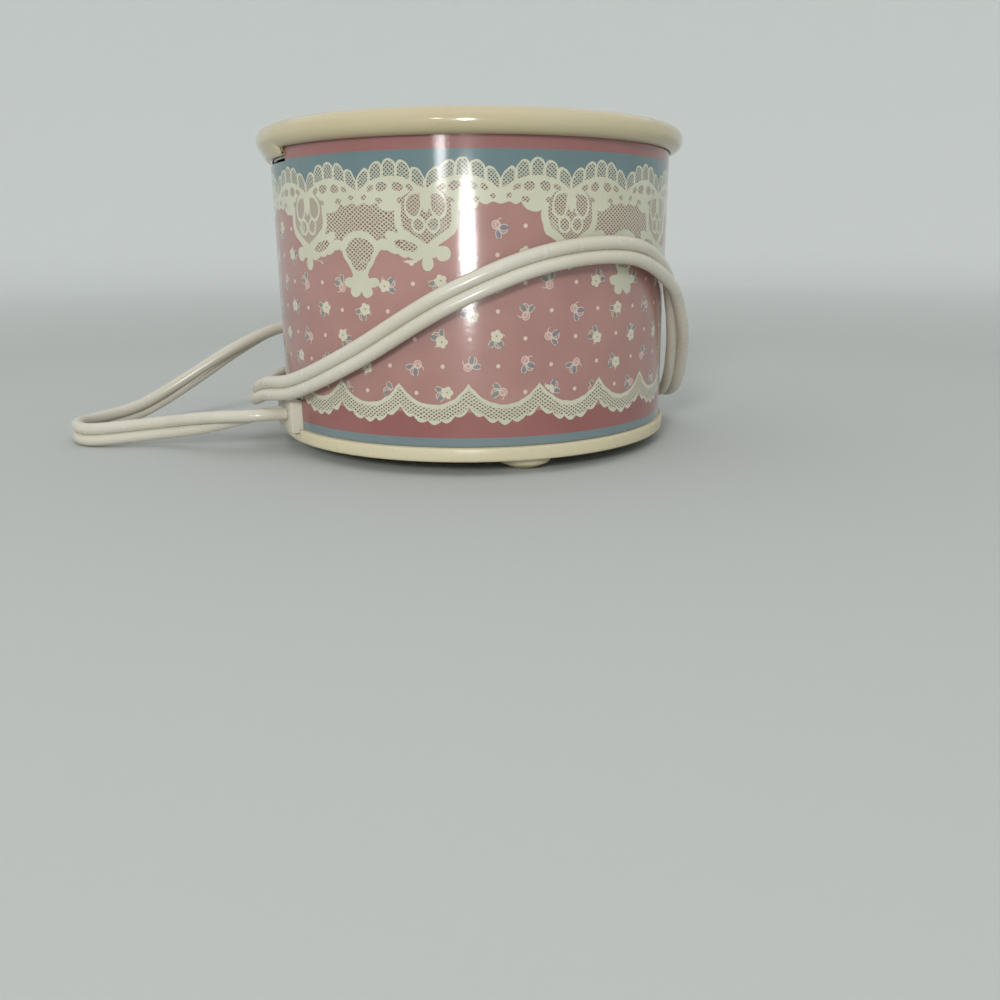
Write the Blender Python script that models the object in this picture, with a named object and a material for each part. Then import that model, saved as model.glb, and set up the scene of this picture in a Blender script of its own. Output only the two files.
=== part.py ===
"""Potpourri simmer pot.

A glazed stoneware crock lifts out of a low round housing. The housing is a moulded base on three
button feet, a printed metal band, and a heating well that carries the crock by its rolled rim.
A flat twin lead leaves an outlet block low on the left, doubles back on itself, goes once round
the housing and ends in a plug behind it.

Azimuths are in degrees seen from above: 0 is the front (-Y), and they grow towards the right (+X).
Heights are measured from the surface that the feet stand on.
"""

import math

import bmesh
import bpy
from mathutils import Matrix, Vector

MM = 0.001

# Facets
FINE_STEPS = 64
HIDDEN_STEPS = 48
SMALL_STEPS = 16
ARC_ANGLE = math.radians(30)

# Gaps between pieces that touch, and between pieces that slide or drop in
SEAT_GAP = 0.3 * MM
BAND_FIT = 0.4 * MM
BLOCK_FIT = 0.4 * MM
HOLE_FIT = 0.3 * MM
CROCK_FIT = 1.2 * MM
CROCK_FLOOR_FIT = 1.0 * MM
BLANKET_FIT = 1.3 * MM

# Printed band: its outside sets the size of the pot, and everything else is laid out from it
BAND_RADIUS = 61.0 * MM
BAND_WALL = 0.6 * MM
BAND_HEIGHT = 79.0 * MM
SEAM_AZIMUTH = -82.0
SEAM_OPENING = 0.35 * MM
SEAM_STRIP_WIDTH = 13.0 * MM
SEAM_STRIP_WALL = 0.6 * MM
SEAM_STRIP_MARGIN = 0.7 * MM

# Feet
FOOT_HEIGHT = 4.0 * MM
FOOT_RADIUS = 7.6 * MM
FOOT_FLAT_RADIUS = 3.4 * MM
FOOT_RIM = 1.0 * MM
FOOT_STEM_RADIUS = 2.8 * MM
FOOT_BARB = 0.8 * MM
FOOT_BARB_HEIGHT = 1.3 * MM
FOOT_INSET = 10.4 * MM
FOOT_AZIMUTH = 15.6
FOOT_COUNT = 3

# Base
BASE_LEDGE = 1.2 * MM
BASE_RING_HEIGHT = 3.9 * MM
BASE_RING_WIDTH = 1.8 * MM
BASE_RECESS = 0.6 * MM
BASE_FLOOR = 1.8 * MM
BASE_EDGE = 0.8 * MM
UPSTAND_HEIGHT = 4.6 * MM
UPSTAND_WALL = 2.0 * MM
BOSS_RADIUS = 8.5 * MM
BOSS_HEIGHT = 4.1 * MM
NUT_POCKET_RADIUS = 6.0 * MM
NUT_POCKET_DEPTH = 2.6 * MM
VENT_COUNT = 12
VENT_WIDTH = 2.6 * MM
VENT_FROM_BOSS = 8.5 * MM
VENT_FROM_FOOT = 5.2 * MM

# Heating well, and the space for the wiring between its underside and the base's boss
WELL_WALL = 0.6 * MM
WELL_CORNER = 8.0 * MM
WELL_FLANGE_INSET = 0.2 * MM
WELL_HEM_HEIGHT = 3.0 * MM
WIRING_SPACE = 8.3 * MM

# Crock
CROCK_TAPER = 1.4 * MM
CROCK_WALL = 5.0 * MM
CROCK_FLOOR = 5.6 * MM
CROCK_OUTER_CORNER = 6.5 * MM
CROCK_INNER_CORNER = 9.5 * MM
CROCK_DRAFT = 1.0 * MM
FOOT_RING_WIDTH = 6.0 * MM
FOOT_RING_HEIGHT = 0.8 * MM
RIM_OVERHANG = 3.8 * MM
RIM_RISE = 5.1 * MM
RIM_SKIRT = 1.4 * MM
RIM_FLAT = 0.2 * MM
RIM_CROWN_WIDTH = 5.6 * MM
LEDGE_WIDTH = 3.8 * MM
LEDGE_DROP = 4.2 * MM

# Locating lug under the rim, and the notch it drops into
LUG_AZIMUTH = -72.0
LUG_HALF_ANGLE = 14.0
LUG_DROP = 3.2 * MM
LUG_PROUD = 1.2 * MM
LUG_END_EDGE = 0.45 * MM
NOTCH_SIDE_ANGLE = 0.7
NOTCH_FLOOR_FIT = 0.9 * MM

# Heating wire, wound in two passes with one return bend
WIRE_RADIUS = 0.8 * MM
WIRE_STAND_OFF = 0.6 * MM
WIRE_AZIMUTH = 40.0
WIRE_TURN_COUNT = 1.5
WIRE_TURN_STEPS = 28
WIRE_PITCH = 14.0 * MM
WIRE_RISE = 10.2 * MM
TAIL_ANGLE = 12.0
TAIL_SLANT_ANGLE = 3.0
TAIL_INSET = 8.8 * MM
WRAP_WALL = 0.3 * MM
WRAP_MARGIN = 5.0 * MM
BLANKET_WALL = 1.2 * MM
BLANKET_DROP = 0.8 * MM

# Stack on the centre line, under the well
STUD_RADIUS = 2.0 * MM
STUD_FLANGE_RADIUS = 7.0 * MM
STUD_FLANGE = 1.2 * MM
STUD_OVERHANG = 1.0 * MM
SPACER_WALL = 1.8 * MM
SHIELD_RADIUS = 35.0 * MM
SHIELD_WALL = 0.6 * MM
SHIELD_LIP = 2.0 * MM
WASHER_RADIUS = 4.8 * MM
WASHER_WALL = 0.6 * MM
NUT_WIDTH = 7.0 * MM
NUT_HEIGHT = 2.2 * MM
NUT_EDGE = 0.2 * MM

# Cord outlet block
BLOCK_AZIMUTH = -66.0
BLOCK_HALF_WIDTH = 8.8 * MM
BLOCK_PROUD = 1.4 * MM
BLOCK_LIP = 2.7 * MM
BLOCK_LIP_WALL = 4.7 * MM
BLOCK_LIP_FIT = 0.55 * MM
BLOCK_FLOOR_FIT = 0.4 * MM
BLOCK_HEIGHT = 9.7 * MM
BLOCK_EDGE = 0.4 * MM

# Wiring in the base
LEAD_RADIUS = 1.1 * MM
LEAD_SPACING = 3.8 * MM
LEAD_RUN = 4.0 * MM
LEAD_FROM_BLOCK = 10.6 * MM
CRIMP_RADIUS = 1.7 * MM
CRIMP_LENGTH = 7.0 * MM
FUSE_RADIUS = 2.2 * MM
FUSE_LENGTH = 14.0 * MM
FUSE_AZIMUTH = -14.0
FUSE_INSET = 15.8 * MM
CLIP_WALL = 0.5 * MM
CLIP_WIDTH = 6.0 * MM
CLIP_TAB = 3.5 * MM
WIRING_DROP = 4.2 * MM

# Flat twin lead
CORD_WIDTH = 7.3 * MM
CORD_THICKNESS = 3.7 * MM
CORD_STEPS = 80

# Plug
PLUG_LENGTH = 29.0 * MM
PLUG_WIDTH = 22.0 * MM
PLUG_THICKNESS = 12.6 * MM
PLUG_EDGE = 0.8 * MM
PLUG_NECK_MARGIN = 1.4 * MM
PLUG_NECK_LENGTH = 8.4 * MM
PLUG_RIB = 0.6 * MM
PLUG_RIB_COUNT = 3
BLADE_LENGTH = 16.0 * MM
BLADE_WIDTH = 6.3 * MM
BLADE_WALL = 1.5 * MM
BLADE_SPACING = 12.7 * MM
BLADE_HOLE_RADIUS = 1.5 * MM
BLADE_HOLE_INSET = 4.0 * MM

# Route of the cord, from the outlet block to the plug: x, y, z in millimetres, then the lean of
# the cord's width from upright in degrees, so 90 is lying flat.
CORD_ROUTE = [
    (-58.0, -26.9, 12.0, -90),
    (-66.0, -30.4, 11.9, -80),
    (-86.9, -24.0, 8.3, -20),
    (-99.3, -18.0, 6.0, -5),
    (-121.6, -16.9, 3.9, 0),
    (-127.4, -11.9, 3.9, 0),
    (-129.8, -4.2, 3.9, 4),
    (-127.7, 3.6, 3.9, 14),
    (-116.1, 15.0, 6.8, 30),
    (-82.9, 28.0, 26.8, 58),
    (-72.0, 34.5, 31.8, 74),
    (-56.3, 44.0, 33.5, 84),
    (-31.0, 59.0, 30.6, 90),
    (-3.0, 66.2, 24.6, 90),
    (26.5, 61.4, 17.8, 90),
    (48.0, 47.6, 12.8, 90),
    (63.0, 29.4, 10.2, 90),
    (67.9, 13.0, 12.0, 90),
    (66.2, -7.0, 29.8, 84),
    (61.4, -20.6, 44.4, 52),
    (57.0, -30.4, 51.4, 28),
    (43.4, -48.2, 58.9, 2),
    (19.8, -60.9, 57.4, 0),
    (-5.6, -63.8, 47.9, 0),
    (-33.0, -54.9, 31.8, 0),
    (-52.7, -38.3, 21.8, 0),
    (-62.6, -27.9, 19.6, 8),
    (-68.2, -17.6, 16.6, 16),
    (-69.8, -4.0, 15.8, 24),
    (-66.8, 11.0, 17.4, 26),
    (-60.0, 33.0, 16.2, 16),
    (-40.0, 67.0, 7.4, 0),
    (2.0, 83.0, 4.2, 0),
    (46.0, 86.4, 3.9, 0),
    (58.4, 92.6, 3.9, 0),
    (62.4, 104.0, 3.9, 0),
    (56.6, 114.4, 3.9, 0),
    (44.0, 118.4, 3.9, 0),
    (27.0, 118.8, 4.6, 28),
    (6.0, 118.0, 6.2, 86),
    (-26.0, 118.0, 6.3, 90),
]

# Radii that follow, from the band inwards
BAND_INNER = BAND_RADIUS - BAND_WALL
BLANKET_RADIUS = BAND_INNER - BLANKET_FIT
BLANKET_INNER = BLANKET_RADIUS - BLANKET_WALL
WRAP_RADIUS = BLANKET_INNER - SEAT_GAP
WRAP_INNER = WRAP_RADIUS - WRAP_WALL
WIRE_CIRCLE = WRAP_INNER - SEAT_GAP - WIRE_RADIUS
WELL_RADIUS = WIRE_CIRCLE - WIRE_RADIUS - WIRE_STAND_OFF
WELL_INNER = WELL_RADIUS - WELL_WALL
CROCK_RADIUS = WELL_INNER - CROCK_FIT
CROCK_INNER = CROCK_RADIUS - CROCK_WALL
TAIL_CIRCLE = WELL_RADIUS - TAIL_INSET
FUSE_CIRCLE = WELL_RADIUS - FUSE_INSET
STUD_HOLE = STUD_RADIUS + HOLE_FIT

# Radii of the base and the rim
BASE_RADIUS = BAND_RADIUS + BASE_LEDGE
UPSTAND_RADIUS = BAND_INNER - BAND_FIT
UPSTAND_INNER = UPSTAND_RADIUS - UPSTAND_WALL
FOOT_CIRCLE = BASE_RADIUS - FOOT_INSET
RIM_RADIUS = BAND_RADIUS + RIM_OVERHANG
SKIRT_INNER = BAND_RADIUS + BAND_FIT
RIM_ROLL = min((RIM_RISE + RIM_SKIRT - RIM_FLAT) / 2, RIM_RADIUS - SKIRT_INNER - RIM_FLAT)
FLANGE_RADIUS = BAND_RADIUS - WELL_FLANGE_INSET
LUG_INNER = BAND_INNER + SEAT_GAP / 3

# Heights that follow, from the feet up
RING_LOW = FOOT_HEIGHT
RING_TOP = RING_LOW + BASE_RING_HEIGHT
FLOOR_UNDERSIDE = RING_LOW + BASE_RECESS
FLOOR_TOP = FLOOR_UNDERSIDE + BASE_FLOOR
UPSTAND_TOP = RING_TOP + UPSTAND_HEIGHT
BOSS_TOP = FLOOR_TOP + BOSS_HEIGHT
POCKET_CEILING = FLOOR_UNDERSIDE + NUT_POCKET_DEPTH
BLOCK_LOW = FLOOR_TOP + BLOCK_FLOOR_FIT
BLOCK_TOP = BLOCK_LOW + BLOCK_HEIGHT
WELL_UNDERSIDE = BOSS_TOP + WIRING_SPACE
WELL_FLOOR = WELL_UNDERSIDE + WELL_WALL
WIRING_HEIGHT = WELL_UNDERSIDE - WIRING_DROP
STUD_TOP = WELL_UNDERSIDE - SEAT_GAP
CROCK_LOW = WELL_FLOOR + CROCK_FLOOR_FIT
CROCK_INNER_FLOOR = CROCK_LOW + CROCK_FLOOR
BLANKET_LOW = WELL_UNDERSIDE - BLANKET_DROP
WIRE_LOW = WELL_UNDERSIDE + WIRE_RISE
WIRE_HIGH = WIRE_LOW + WIRE_PITCH * (WIRE_TURN_COUNT + 0.5)

# Heights of the top, from the band up
BAND_LOW = RING_TOP + SEAT_GAP
BAND_TOP = BAND_LOW + BAND_HEIGHT
FLANGE_UNDERSIDE = BAND_TOP + SEAT_GAP
FLANGE_TOP = FLANGE_UNDERSIDE + WELL_WALL
HEM_LOW = FLANGE_UNDERSIDE - WELL_HEM_HEIGHT
SEAT = FLANGE_TOP + SEAT_GAP
SKIRT_LOW = SEAT - RIM_SKIRT
CROWN = SEAT + RIM_RISE
LUG_LOW = SKIRT_LOW - LUG_DROP

# Faces of the outlet block, from the pot's centre line: its lip bears behind the upstand
BLOCK_LIP_HALF_WIDTH = BLOCK_HALF_WIDTH + BLOCK_LIP
BLOCK_LIP_FACE = math.sqrt(UPSTAND_INNER**2 - BLOCK_LIP_HALF_WIDTH**2) - BLOCK_LIP_FIT
BLOCK_INNER_FACE = BLOCK_LIP_FACE - BLOCK_LIP_WALL
BLOCK_OUTER_FACE = BASE_RADIUS + BLOCK_PROUD
LEAD_CIRCLE = BLOCK_INNER_FACE - LEAD_FROM_BLOCK


def polar(azimuth, radius, height):
    angle = math.radians(azimuth)
    return Vector((radius * math.sin(angle), -radius * math.cos(angle), height))


def link(name, mesh):
    body = bpy.data.objects.new(name, mesh)
    bpy.context.scene.collection.objects.link(body)
    return body


def finish(body, colour, roughness, metallic=0.0):
    """Gives a piece its material, which carries the piece's own name."""
    material = bpy.data.materials.new(body.name)
    material.use_nodes = True
    shader = material.node_tree.nodes["Principled BSDF"]
    shader.inputs["Base Color"].default_value = (*colour, 1.0)
    shader.inputs["Roughness"].default_value = roughness
    shader.inputs["Metallic"].default_value = metallic
    body.data.materials.clear()
    body.data.materials.append(material)
    return body


def smooth(body, angle=35):
    body.data.shade_smooth()
    body.data.set_sharp_from_angle(angle=math.radians(angle))
    return body


def rounded(corners):
    """Points of an outline whose corners are (across, up, fillet radius)."""
    points = []
    count = len(corners)
    for i, (across, up, fillet) in enumerate(corners):
        here = Vector((across, up))
        if fillet <= 0:
            points.append(here)
            continue
        before = (Vector(corners[i - 1][:2]) - here).normalized()
        after = (Vector(corners[(i + 1) % count][:2]) - here).normalized()
        half = before.angle(after) / 2
        middle = here + (before + after).normalized() * fillet / math.sin(half)
        start = here + before * fillet / math.tan(half) - middle
        end = here + after * fillet / math.tan(half) - middle
        steps = max(1, math.ceil((math.pi - 2 * half) / ARC_ANGLE - 0.01))
        points += [middle + fillet * start.slerp(end, k / steps) for k in range(steps + 1)]
    return points


def turned(name, corners, steps, sweep=360.0, start=0.0):
    """A body turned round the Z axis from an outline of (radius, height, fillet) corners."""
    bm = bmesh.new()
    turn_to_start = Matrix.Rotation(math.radians(start), 3, "Z")
    ring = [bm.verts.new(turn_to_start @ Vector((0, -p.x, p.y))) for p in rounded(corners)]
    edges = [bm.edges.new(pair) for pair in zip(ring, ring[1:])]
    if corners[0][0] > 0 or corners[-1][0] > 0:
        edges.append(bm.edges.new((ring[-1], ring[0])))
    bmesh.ops.spin(
        bm,
        geom=ring + edges,
        cent=(0, 0, 0),
        axis=(0, 0, 1),
        angle=math.radians(sweep),
        steps=steps,
        use_merge=sweep == 360.0,
    )
    bmesh.ops.remove_doubles(bm, verts=bm.verts, dist=1e-7)
    bmesh.ops.holes_fill(bm, edges=[e for e in bm.edges if e.is_boundary], sides=0)
    return closed(name, bm)


def prism(name, outline, low, high, edge=0.0):
    """An outline in X and Y, raised from low to high, with its edges eased by a bevel."""
    bm = bmesh.new()
    face = bm.faces.new([bm.verts.new((x, y, low)) for x, y in outline])
    raised = bmesh.ops.extrude_face_region(bm, geom=[face])["geom"]
    top = [v for v in raised if isinstance(v, bmesh.types.BMVert)]
    bmesh.ops.translate(bm, verts=top, vec=(0, 0, high - low))
    if edge > 0:
        bmesh.ops.bevel(
            bm, geom=list(bm.edges), offset=edge, segments=1, affect="EDGES", profile=0.5
        )
    return closed(name, bm)


def box(name, low, high):
    outline = [(low[0], low[1]), (high[0], low[1]), (high[0], high[1]), (low[0], high[1])]
    return prism(name, outline, low[2], high[2])


def rod(name, radius, low, high, steps=SMALL_STEPS):
    return turned(name, [(0, low, 0), (radius, low, 0), (radius, high, 0), (0, high, 0)], steps)


def closed(name, bm):
    bmesh.ops.recalc_face_normals(bm, faces=bm.faces)
    mesh = bpy.data.meshes.new(name)
    bm.to_mesh(mesh)
    bm.free()
    return link(name, mesh)


def join_or_cut(body, tools, operation="DIFFERENCE"):
    """Applies each tool to the body with an exact Boolean, and removes the tool."""
    for tool in tools:
        step = body.modifiers.new(tool.name, "BOOLEAN")
        step.operation = operation
        step.solver = "EXACT"
        step.object = tool
        bpy.context.view_layer.update()
        seen = body.evaluated_get(bpy.context.evaluated_depsgraph_get())
        mesh = bpy.data.meshes.new_from_object(seen)
        body.modifiers.clear()
        body.data = mesh
        bpy.data.objects.remove(tool)
    bm = bmesh.new()
    bm.from_mesh(body.data)
    bmesh.ops.remove_doubles(bm, verts=bm.verts, dist=1e-6)
    bmesh.ops.dissolve_degenerate(bm, edges=bm.edges, dist=1e-6)
    bm.to_mesh(body.data)
    bm.free()
    return body


def turn_to(body, azimuth):
    body.rotation_euler = (0, 0, math.radians(azimuth))
    return body


def wire(name, points, radius):
    """A round wire along points, with flat ends."""
    return tube(name, points, radius, 0.0, [0.0] * len(points), 1)


def tube(name, points, radius, widen, leans, resolution):
    """A tube of that radius, drawn out by widen to both sides, with a lean from upright."""
    curve = bpy.data.curves.new(name, "CURVE")
    curve.dimensions = "3D"
    curve.twist_mode = "Z_UP"
    curve.bevel_depth = radius
    curve.extrude = widen
    curve.bevel_resolution = resolution
    curve.use_fill_caps = True
    line = curve.splines.new("POLY")
    line.points.add(len(points) - 1)
    for point, place, lean in zip(line.points, points, leans):
        point.co = (*place, 1)
        point.tilt = math.radians(lean)
    line.use_smooth = True
    return link(name, curve)


def through(points, count):
    """Count points on a smooth curve through the given ones, closer together where it bends."""
    ends = [points[0] * 2 - points[1], *points, points[-1] * 2 - points[-2]]
    fine = []
    for i in range(1, len(ends) - 2):
        fine += [catmull(ends[i - 1 : i + 3], k / 12) for k in range(12)]
    fine.append(points[-1])
    weight = [0.0]
    for a, b, c in zip(fine, fine[1:], [*fine[2:], fine[-1]]):
        step = (b - a).xyz.length
        bend = (b - a).xyz.angle((c - b).xyz, 0.0)
        weight.append(weight[-1] + step + bend * CORD_WIDTH)
    out = [fine[0]]
    i = 0
    for k in range(1, count - 1):
        goal = weight[-1] * k / (count - 1)
        while weight[i + 1] < goal:
            i += 1
        out.append(fine[i].lerp(fine[i + 1], (goal - weight[i]) / (weight[i + 1] - weight[i])))
    out.append(fine[-1])
    return out


def catmull(four, t):
    """A point between the middle two of four points, on a centripetal curve through them."""
    knots = [0.0]
    for a, b in zip(four, four[1:]):
        knots.append(knots[-1] + math.sqrt((b - a).xyz.length))
    at = knots[1] + (knots[2] - knots[1]) * t

    def between(a, b, low, high):
        return a * ((high - at) / (high - low)) + b * ((at - low) / (high - low))

    first = [between(four[i], four[i + 1], knots[i], knots[i + 1]) for i in range(3)]
    second = [between(first[i], first[i + 1], knots[i], knots[i + 2]) for i in range(2)]
    return between(second[0], second[1], knots[1], knots[2])


def least_gap(name, points, thickness, apart):
    """Prints the least gap between stretches of a tube that are further apart along it."""
    along = [0.0]
    for a, b in zip(points, points[1:]):
        along.append(along[-1] + (b - a).length)
    gap = min(
        (a - b).length - thickness
        for i, a in enumerate(points)
        for j, b in enumerate(points[:i])
        if along[i] - along[j] > apart
    )
    print(f"{name}: {along[-1] * 1000:.0f} mm long, least gap to itself {gap * 1000:.2f} mm")


def crock():
    """The bowl with its foot ring, lid ledge and rolled rim, and the lug that keys it."""
    ledge_outer = CROCK_INNER + LEDGE_WIDTH
    crown_inner = RIM_RADIUS - RIM_ROLL - RIM_CROWN_WIDTH
    foot_outer = CROCK_RADIUS - CROCK_TAPER
    ring_inner = foot_outer - CROCK_OUTER_CORNER - FOOT_RING_WIDTH
    bowl = turned(
        "stoneware_crock",
        [
            (0, CROCK_LOW + FOOT_RING_HEIGHT, 0),
            (ring_inner - FOOT_RING_HEIGHT, CROCK_LOW + FOOT_RING_HEIGHT, 0),
            (ring_inner, CROCK_LOW, 0),
            (foot_outer, CROCK_LOW, CROCK_OUTER_CORNER),
            (CROCK_RADIUS, SEAT, 0),
            (SKIRT_INNER, SEAT, 0),
            (SKIRT_INNER, SKIRT_LOW, 0),
            (RIM_RADIUS, SKIRT_LOW, RIM_ROLL),
            (RIM_RADIUS, CROWN, RIM_ROLL),
            (crown_inner, CROWN, RIM_ROLL / 2),
            (ledge_outer, CROWN - LEDGE_DROP, LEDGE_WIDTH / 3),
            (CROCK_INNER, CROWN - LEDGE_DROP - LEDGE_WIDTH / 6, LEDGE_WIDTH / 2),
            (CROCK_INNER - CROCK_DRAFT, CROCK_INNER_FLOOR, CROCK_INNER_CORNER),
            (0, CROCK_INNER_FLOOR, 0),
        ],
        FINE_STEPS,
    )
    lug_outer = BAND_RADIUS + LUG_PROUD
    lug_shoulder = RIM_RADIUS - RIM_ROLL / 2
    lug_top = SEAT + RIM_ROLL / 3
    lug = turned(
        "lug",
        [
            (LUG_INNER, LUG_LOW, 0),
            (lug_outer - LUG_PROUD / 2, LUG_LOW, 0),
            (lug_outer, LUG_LOW + LUG_PROUD / 2, 0),
            (lug_outer + LUG_PROUD / 4, SKIRT_LOW, 0),
            (lug_shoulder, SEAT, 0),
            (lug_shoulder, lug_top, 0),
            (LUG_INNER, lug_top, 0),
        ],
        8,
        2 * LUG_HALF_ANGLE,
        LUG_AZIMUTH - LUG_HALF_ANGLE,
    )
    bm = bmesh.new()
    bm.from_mesh(lug.data)
    ends = [f for f in bm.faces if len(f.verts) > 4]
    bmesh.ops.bevel(
        bm,
        geom=list({e for f in ends for e in f.edges}),
        offset=LUG_END_EDGE,
        segments=2,
        affect="EDGES",
        profile=0.5,
    )
    bm.to_mesh(lug.data)
    bm.free()
    join_or_cut(bowl, [lug], "UNION")
    return finish(smooth(bowl), (0.72, 0.65, 0.47), 0.18)


def printed_band():
    """The printed sleeve, open at its seam, notched for the lug and the outlet block."""
    band = turned(
        "printed_band",
        [
            (BAND_INNER, BAND_LOW, 0),
            (BAND_RADIUS, BAND_LOW, 0),
            (BAND_RADIUS, BAND_TOP, 0),
            (BAND_INNER, BAND_TOP, 0),
        ],
        FINE_STEPS,
    )
    notch_half = LUG_HALF_ANGLE + NOTCH_SIDE_ANGLE
    lug_notch = turned(
        "lug_notch",
        [
            (BAND_INNER - UPSTAND_WALL, LUG_LOW - NOTCH_FLOOR_FIT, 0),
            (RIM_RADIUS, LUG_LOW - NOTCH_FLOOR_FIT, 0),
            (RIM_RADIUS, CROWN, 0),
            (BAND_INNER - UPSTAND_WALL, CROWN, 0),
        ],
        10,
        2 * notch_half,
        LUG_AZIMUTH - notch_half,
    )
    side = BLOCK_HALF_WIDTH + BLOCK_FIT
    block_notch = turn_to(
        box(
            "block_notch",
            (-side, -RIM_RADIUS, RING_LOW),
            (side, -BLOCK_INNER_FACE, BLOCK_TOP + NOTCH_FLOOR_FIT),
        ),
        BLOCK_AZIMUTH,
    )
    seam = turn_to(
        box(
            "seam",
            (-SEAM_OPENING / 2, -RIM_RADIUS, RING_LOW),
            (SEAM_OPENING / 2, -BLOCK_INNER_FACE, CROWN),
        ),
        SEAM_AZIMUTH,
    )
    join_or_cut(band, [lug_notch, block_notch, seam])
    return finish(smooth(band), (0.42, 0.22, 0.2), 0.28)


def seam_strip():
    """The strip behind the seam that joins the band's two ends."""
    outer = BAND_INNER - SEAT_GAP
    inner = outer - SEAM_STRIP_WALL
    half = math.degrees(SEAM_STRIP_WIDTH / 2 / outer)
    low = UPSTAND_TOP + SEAM_STRIP_MARGIN
    high = HEM_LOW - SEAM_STRIP_MARGIN
    strip = turned(
        "band_seam_strip",
        [(inner, low, 0), (outer, low, 0), (outer, high, 0), (inner, high, 0)],
        3,
        2 * half,
        SEAM_AZIMUTH - half,
    )
    return finish(smooth(strip), (0.55, 0.54, 0.5), 0.5, 0.6)


def base_pan():
    """The moulded base: ring, ledge for the band, upstand, centre boss, vents and foot sockets."""
    recess = BASE_RADIUS - BASE_RING_WIDTH
    pan = turned(
        "base_pan",
        [
            (STUD_HOLE, POCKET_CEILING, 0),
            (NUT_POCKET_RADIUS, POCKET_CEILING, 0),
            (NUT_POCKET_RADIUS, FLOOR_UNDERSIDE, 0),
            (recess, FLOOR_UNDERSIDE, 0),
            (recess, RING_LOW, 0),
            (BASE_RADIUS, RING_LOW, BASE_EDGE),
            (BASE_RADIUS, RING_TOP, BASE_EDGE / 2),
            (UPSTAND_RADIUS, RING_TOP, 0),
            (UPSTAND_RADIUS, UPSTAND_TOP, 0),
            (UPSTAND_INNER, UPSTAND_TOP, 0),
            (UPSTAND_INNER, FLOOR_TOP, BASE_EDGE),
            (BOSS_RADIUS, FLOOR_TOP, BASE_EDGE),
            (BOSS_RADIUS, BOSS_TOP, 0),
            (STUD_HOLE, BOSS_TOP, 0),
        ],
        FINE_STEPS,
    )
    side = BLOCK_HALF_WIDTH + BLOCK_FIT
    cutters = [
        turn_to(
            box(
                "block_way",
                (-side, -RIM_RADIUS, BLOCK_LOW - SEAT_GAP),
                (side, -BLOCK_INNER_FACE, UPSTAND_TOP + BASE_EDGE),
            ),
            BLOCK_AZIMUTH,
        )
    ]
    for k in range(FOOT_COUNT):
        socket = rod("socket", FOOT_STEM_RADIUS + HOLE_FIT, 0, UPSTAND_TOP)
        socket.location = polar(FOOT_AZIMUTH + 360 / FOOT_COUNT * k, FOOT_CIRCLE, 0)
        cutters.append(socket)
    half = VENT_WIDTH / 2
    vent_inner = BOSS_RADIUS + VENT_FROM_BOSS
    vent_outer = FOOT_CIRCLE - FOOT_RADIUS - VENT_FROM_FOOT
    for k in range(VENT_COUNT):
        vent = box("vent", (-half, -vent_outer, 0), (half, -vent_inner, UPSTAND_TOP))
        cutters.append(turn_to(vent, 360 / VENT_COUNT * (k + 0.5)))
    join_or_cut(pan, cutters)
    return finish(smooth(pan), (0.74, 0.68, 0.53), 0.35)


def foot(number):
    """A push-in button: a domed pad with a stem and a barb above the base floor."""
    top = FLOOR_UNDERSIDE - SEAT_GAP
    barb_low = FLOOR_TOP + SEAT_GAP
    barb_top = barb_low + FOOT_BARB_HEIGHT
    button = turned(
        f"foot_{number + 1}",
        [
            (0, 0, 0),
            (FOOT_FLAT_RADIUS, 0, 0),
            (FOOT_RADIUS * 0.8, top * 0.3, 0),
            (FOOT_RADIUS, top - FOOT_RIM, 0),
            (FOOT_RADIUS, top, 0),
            (FOOT_STEM_RADIUS, top, 0),
            (FOOT_STEM_RADIUS, barb_low, 0),
            (FOOT_STEM_RADIUS + FOOT_BARB, barb_low, 0),
            (FOOT_STEM_RADIUS - FOOT_BARB, barb_top, 0),
            (0, barb_top, 0),
        ],
        24,
    )
    button.location = polar(FOOT_AZIMUTH + 360 / FOOT_COUNT * number, FOOT_CIRCLE, 0)
    return finish(smooth(button), (0.76, 0.7, 0.56), 0.4)


def outlet_block():
    """The moulded block that the cord comes out of, with a lip behind the upstand."""
    outline = [
        (-BLOCK_HALF_WIDTH, -BLOCK_OUTER_FACE),
        (BLOCK_HALF_WIDTH, -BLOCK_OUTER_FACE),
        (BLOCK_HALF_WIDTH, -BLOCK_LIP_FACE),
        (BLOCK_LIP_HALF_WIDTH, -BLOCK_LIP_FACE),
        (BLOCK_LIP_HALF_WIDTH, -BLOCK_INNER_FACE),
        (-BLOCK_LIP_HALF_WIDTH, -BLOCK_INNER_FACE),
        (-BLOCK_LIP_HALF_WIDTH, -BLOCK_LIP_FACE),
        (-BLOCK_HALF_WIDTH, -BLOCK_LIP_FACE),
    ]
    block = prism("cord_outlet_block", outline, BLOCK_LOW, BLOCK_TOP, BLOCK_EDGE)
    return finish(turn_to(block, BLOCK_AZIMUTH), (0.8, 0.77, 0.68), 0.4)


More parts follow.
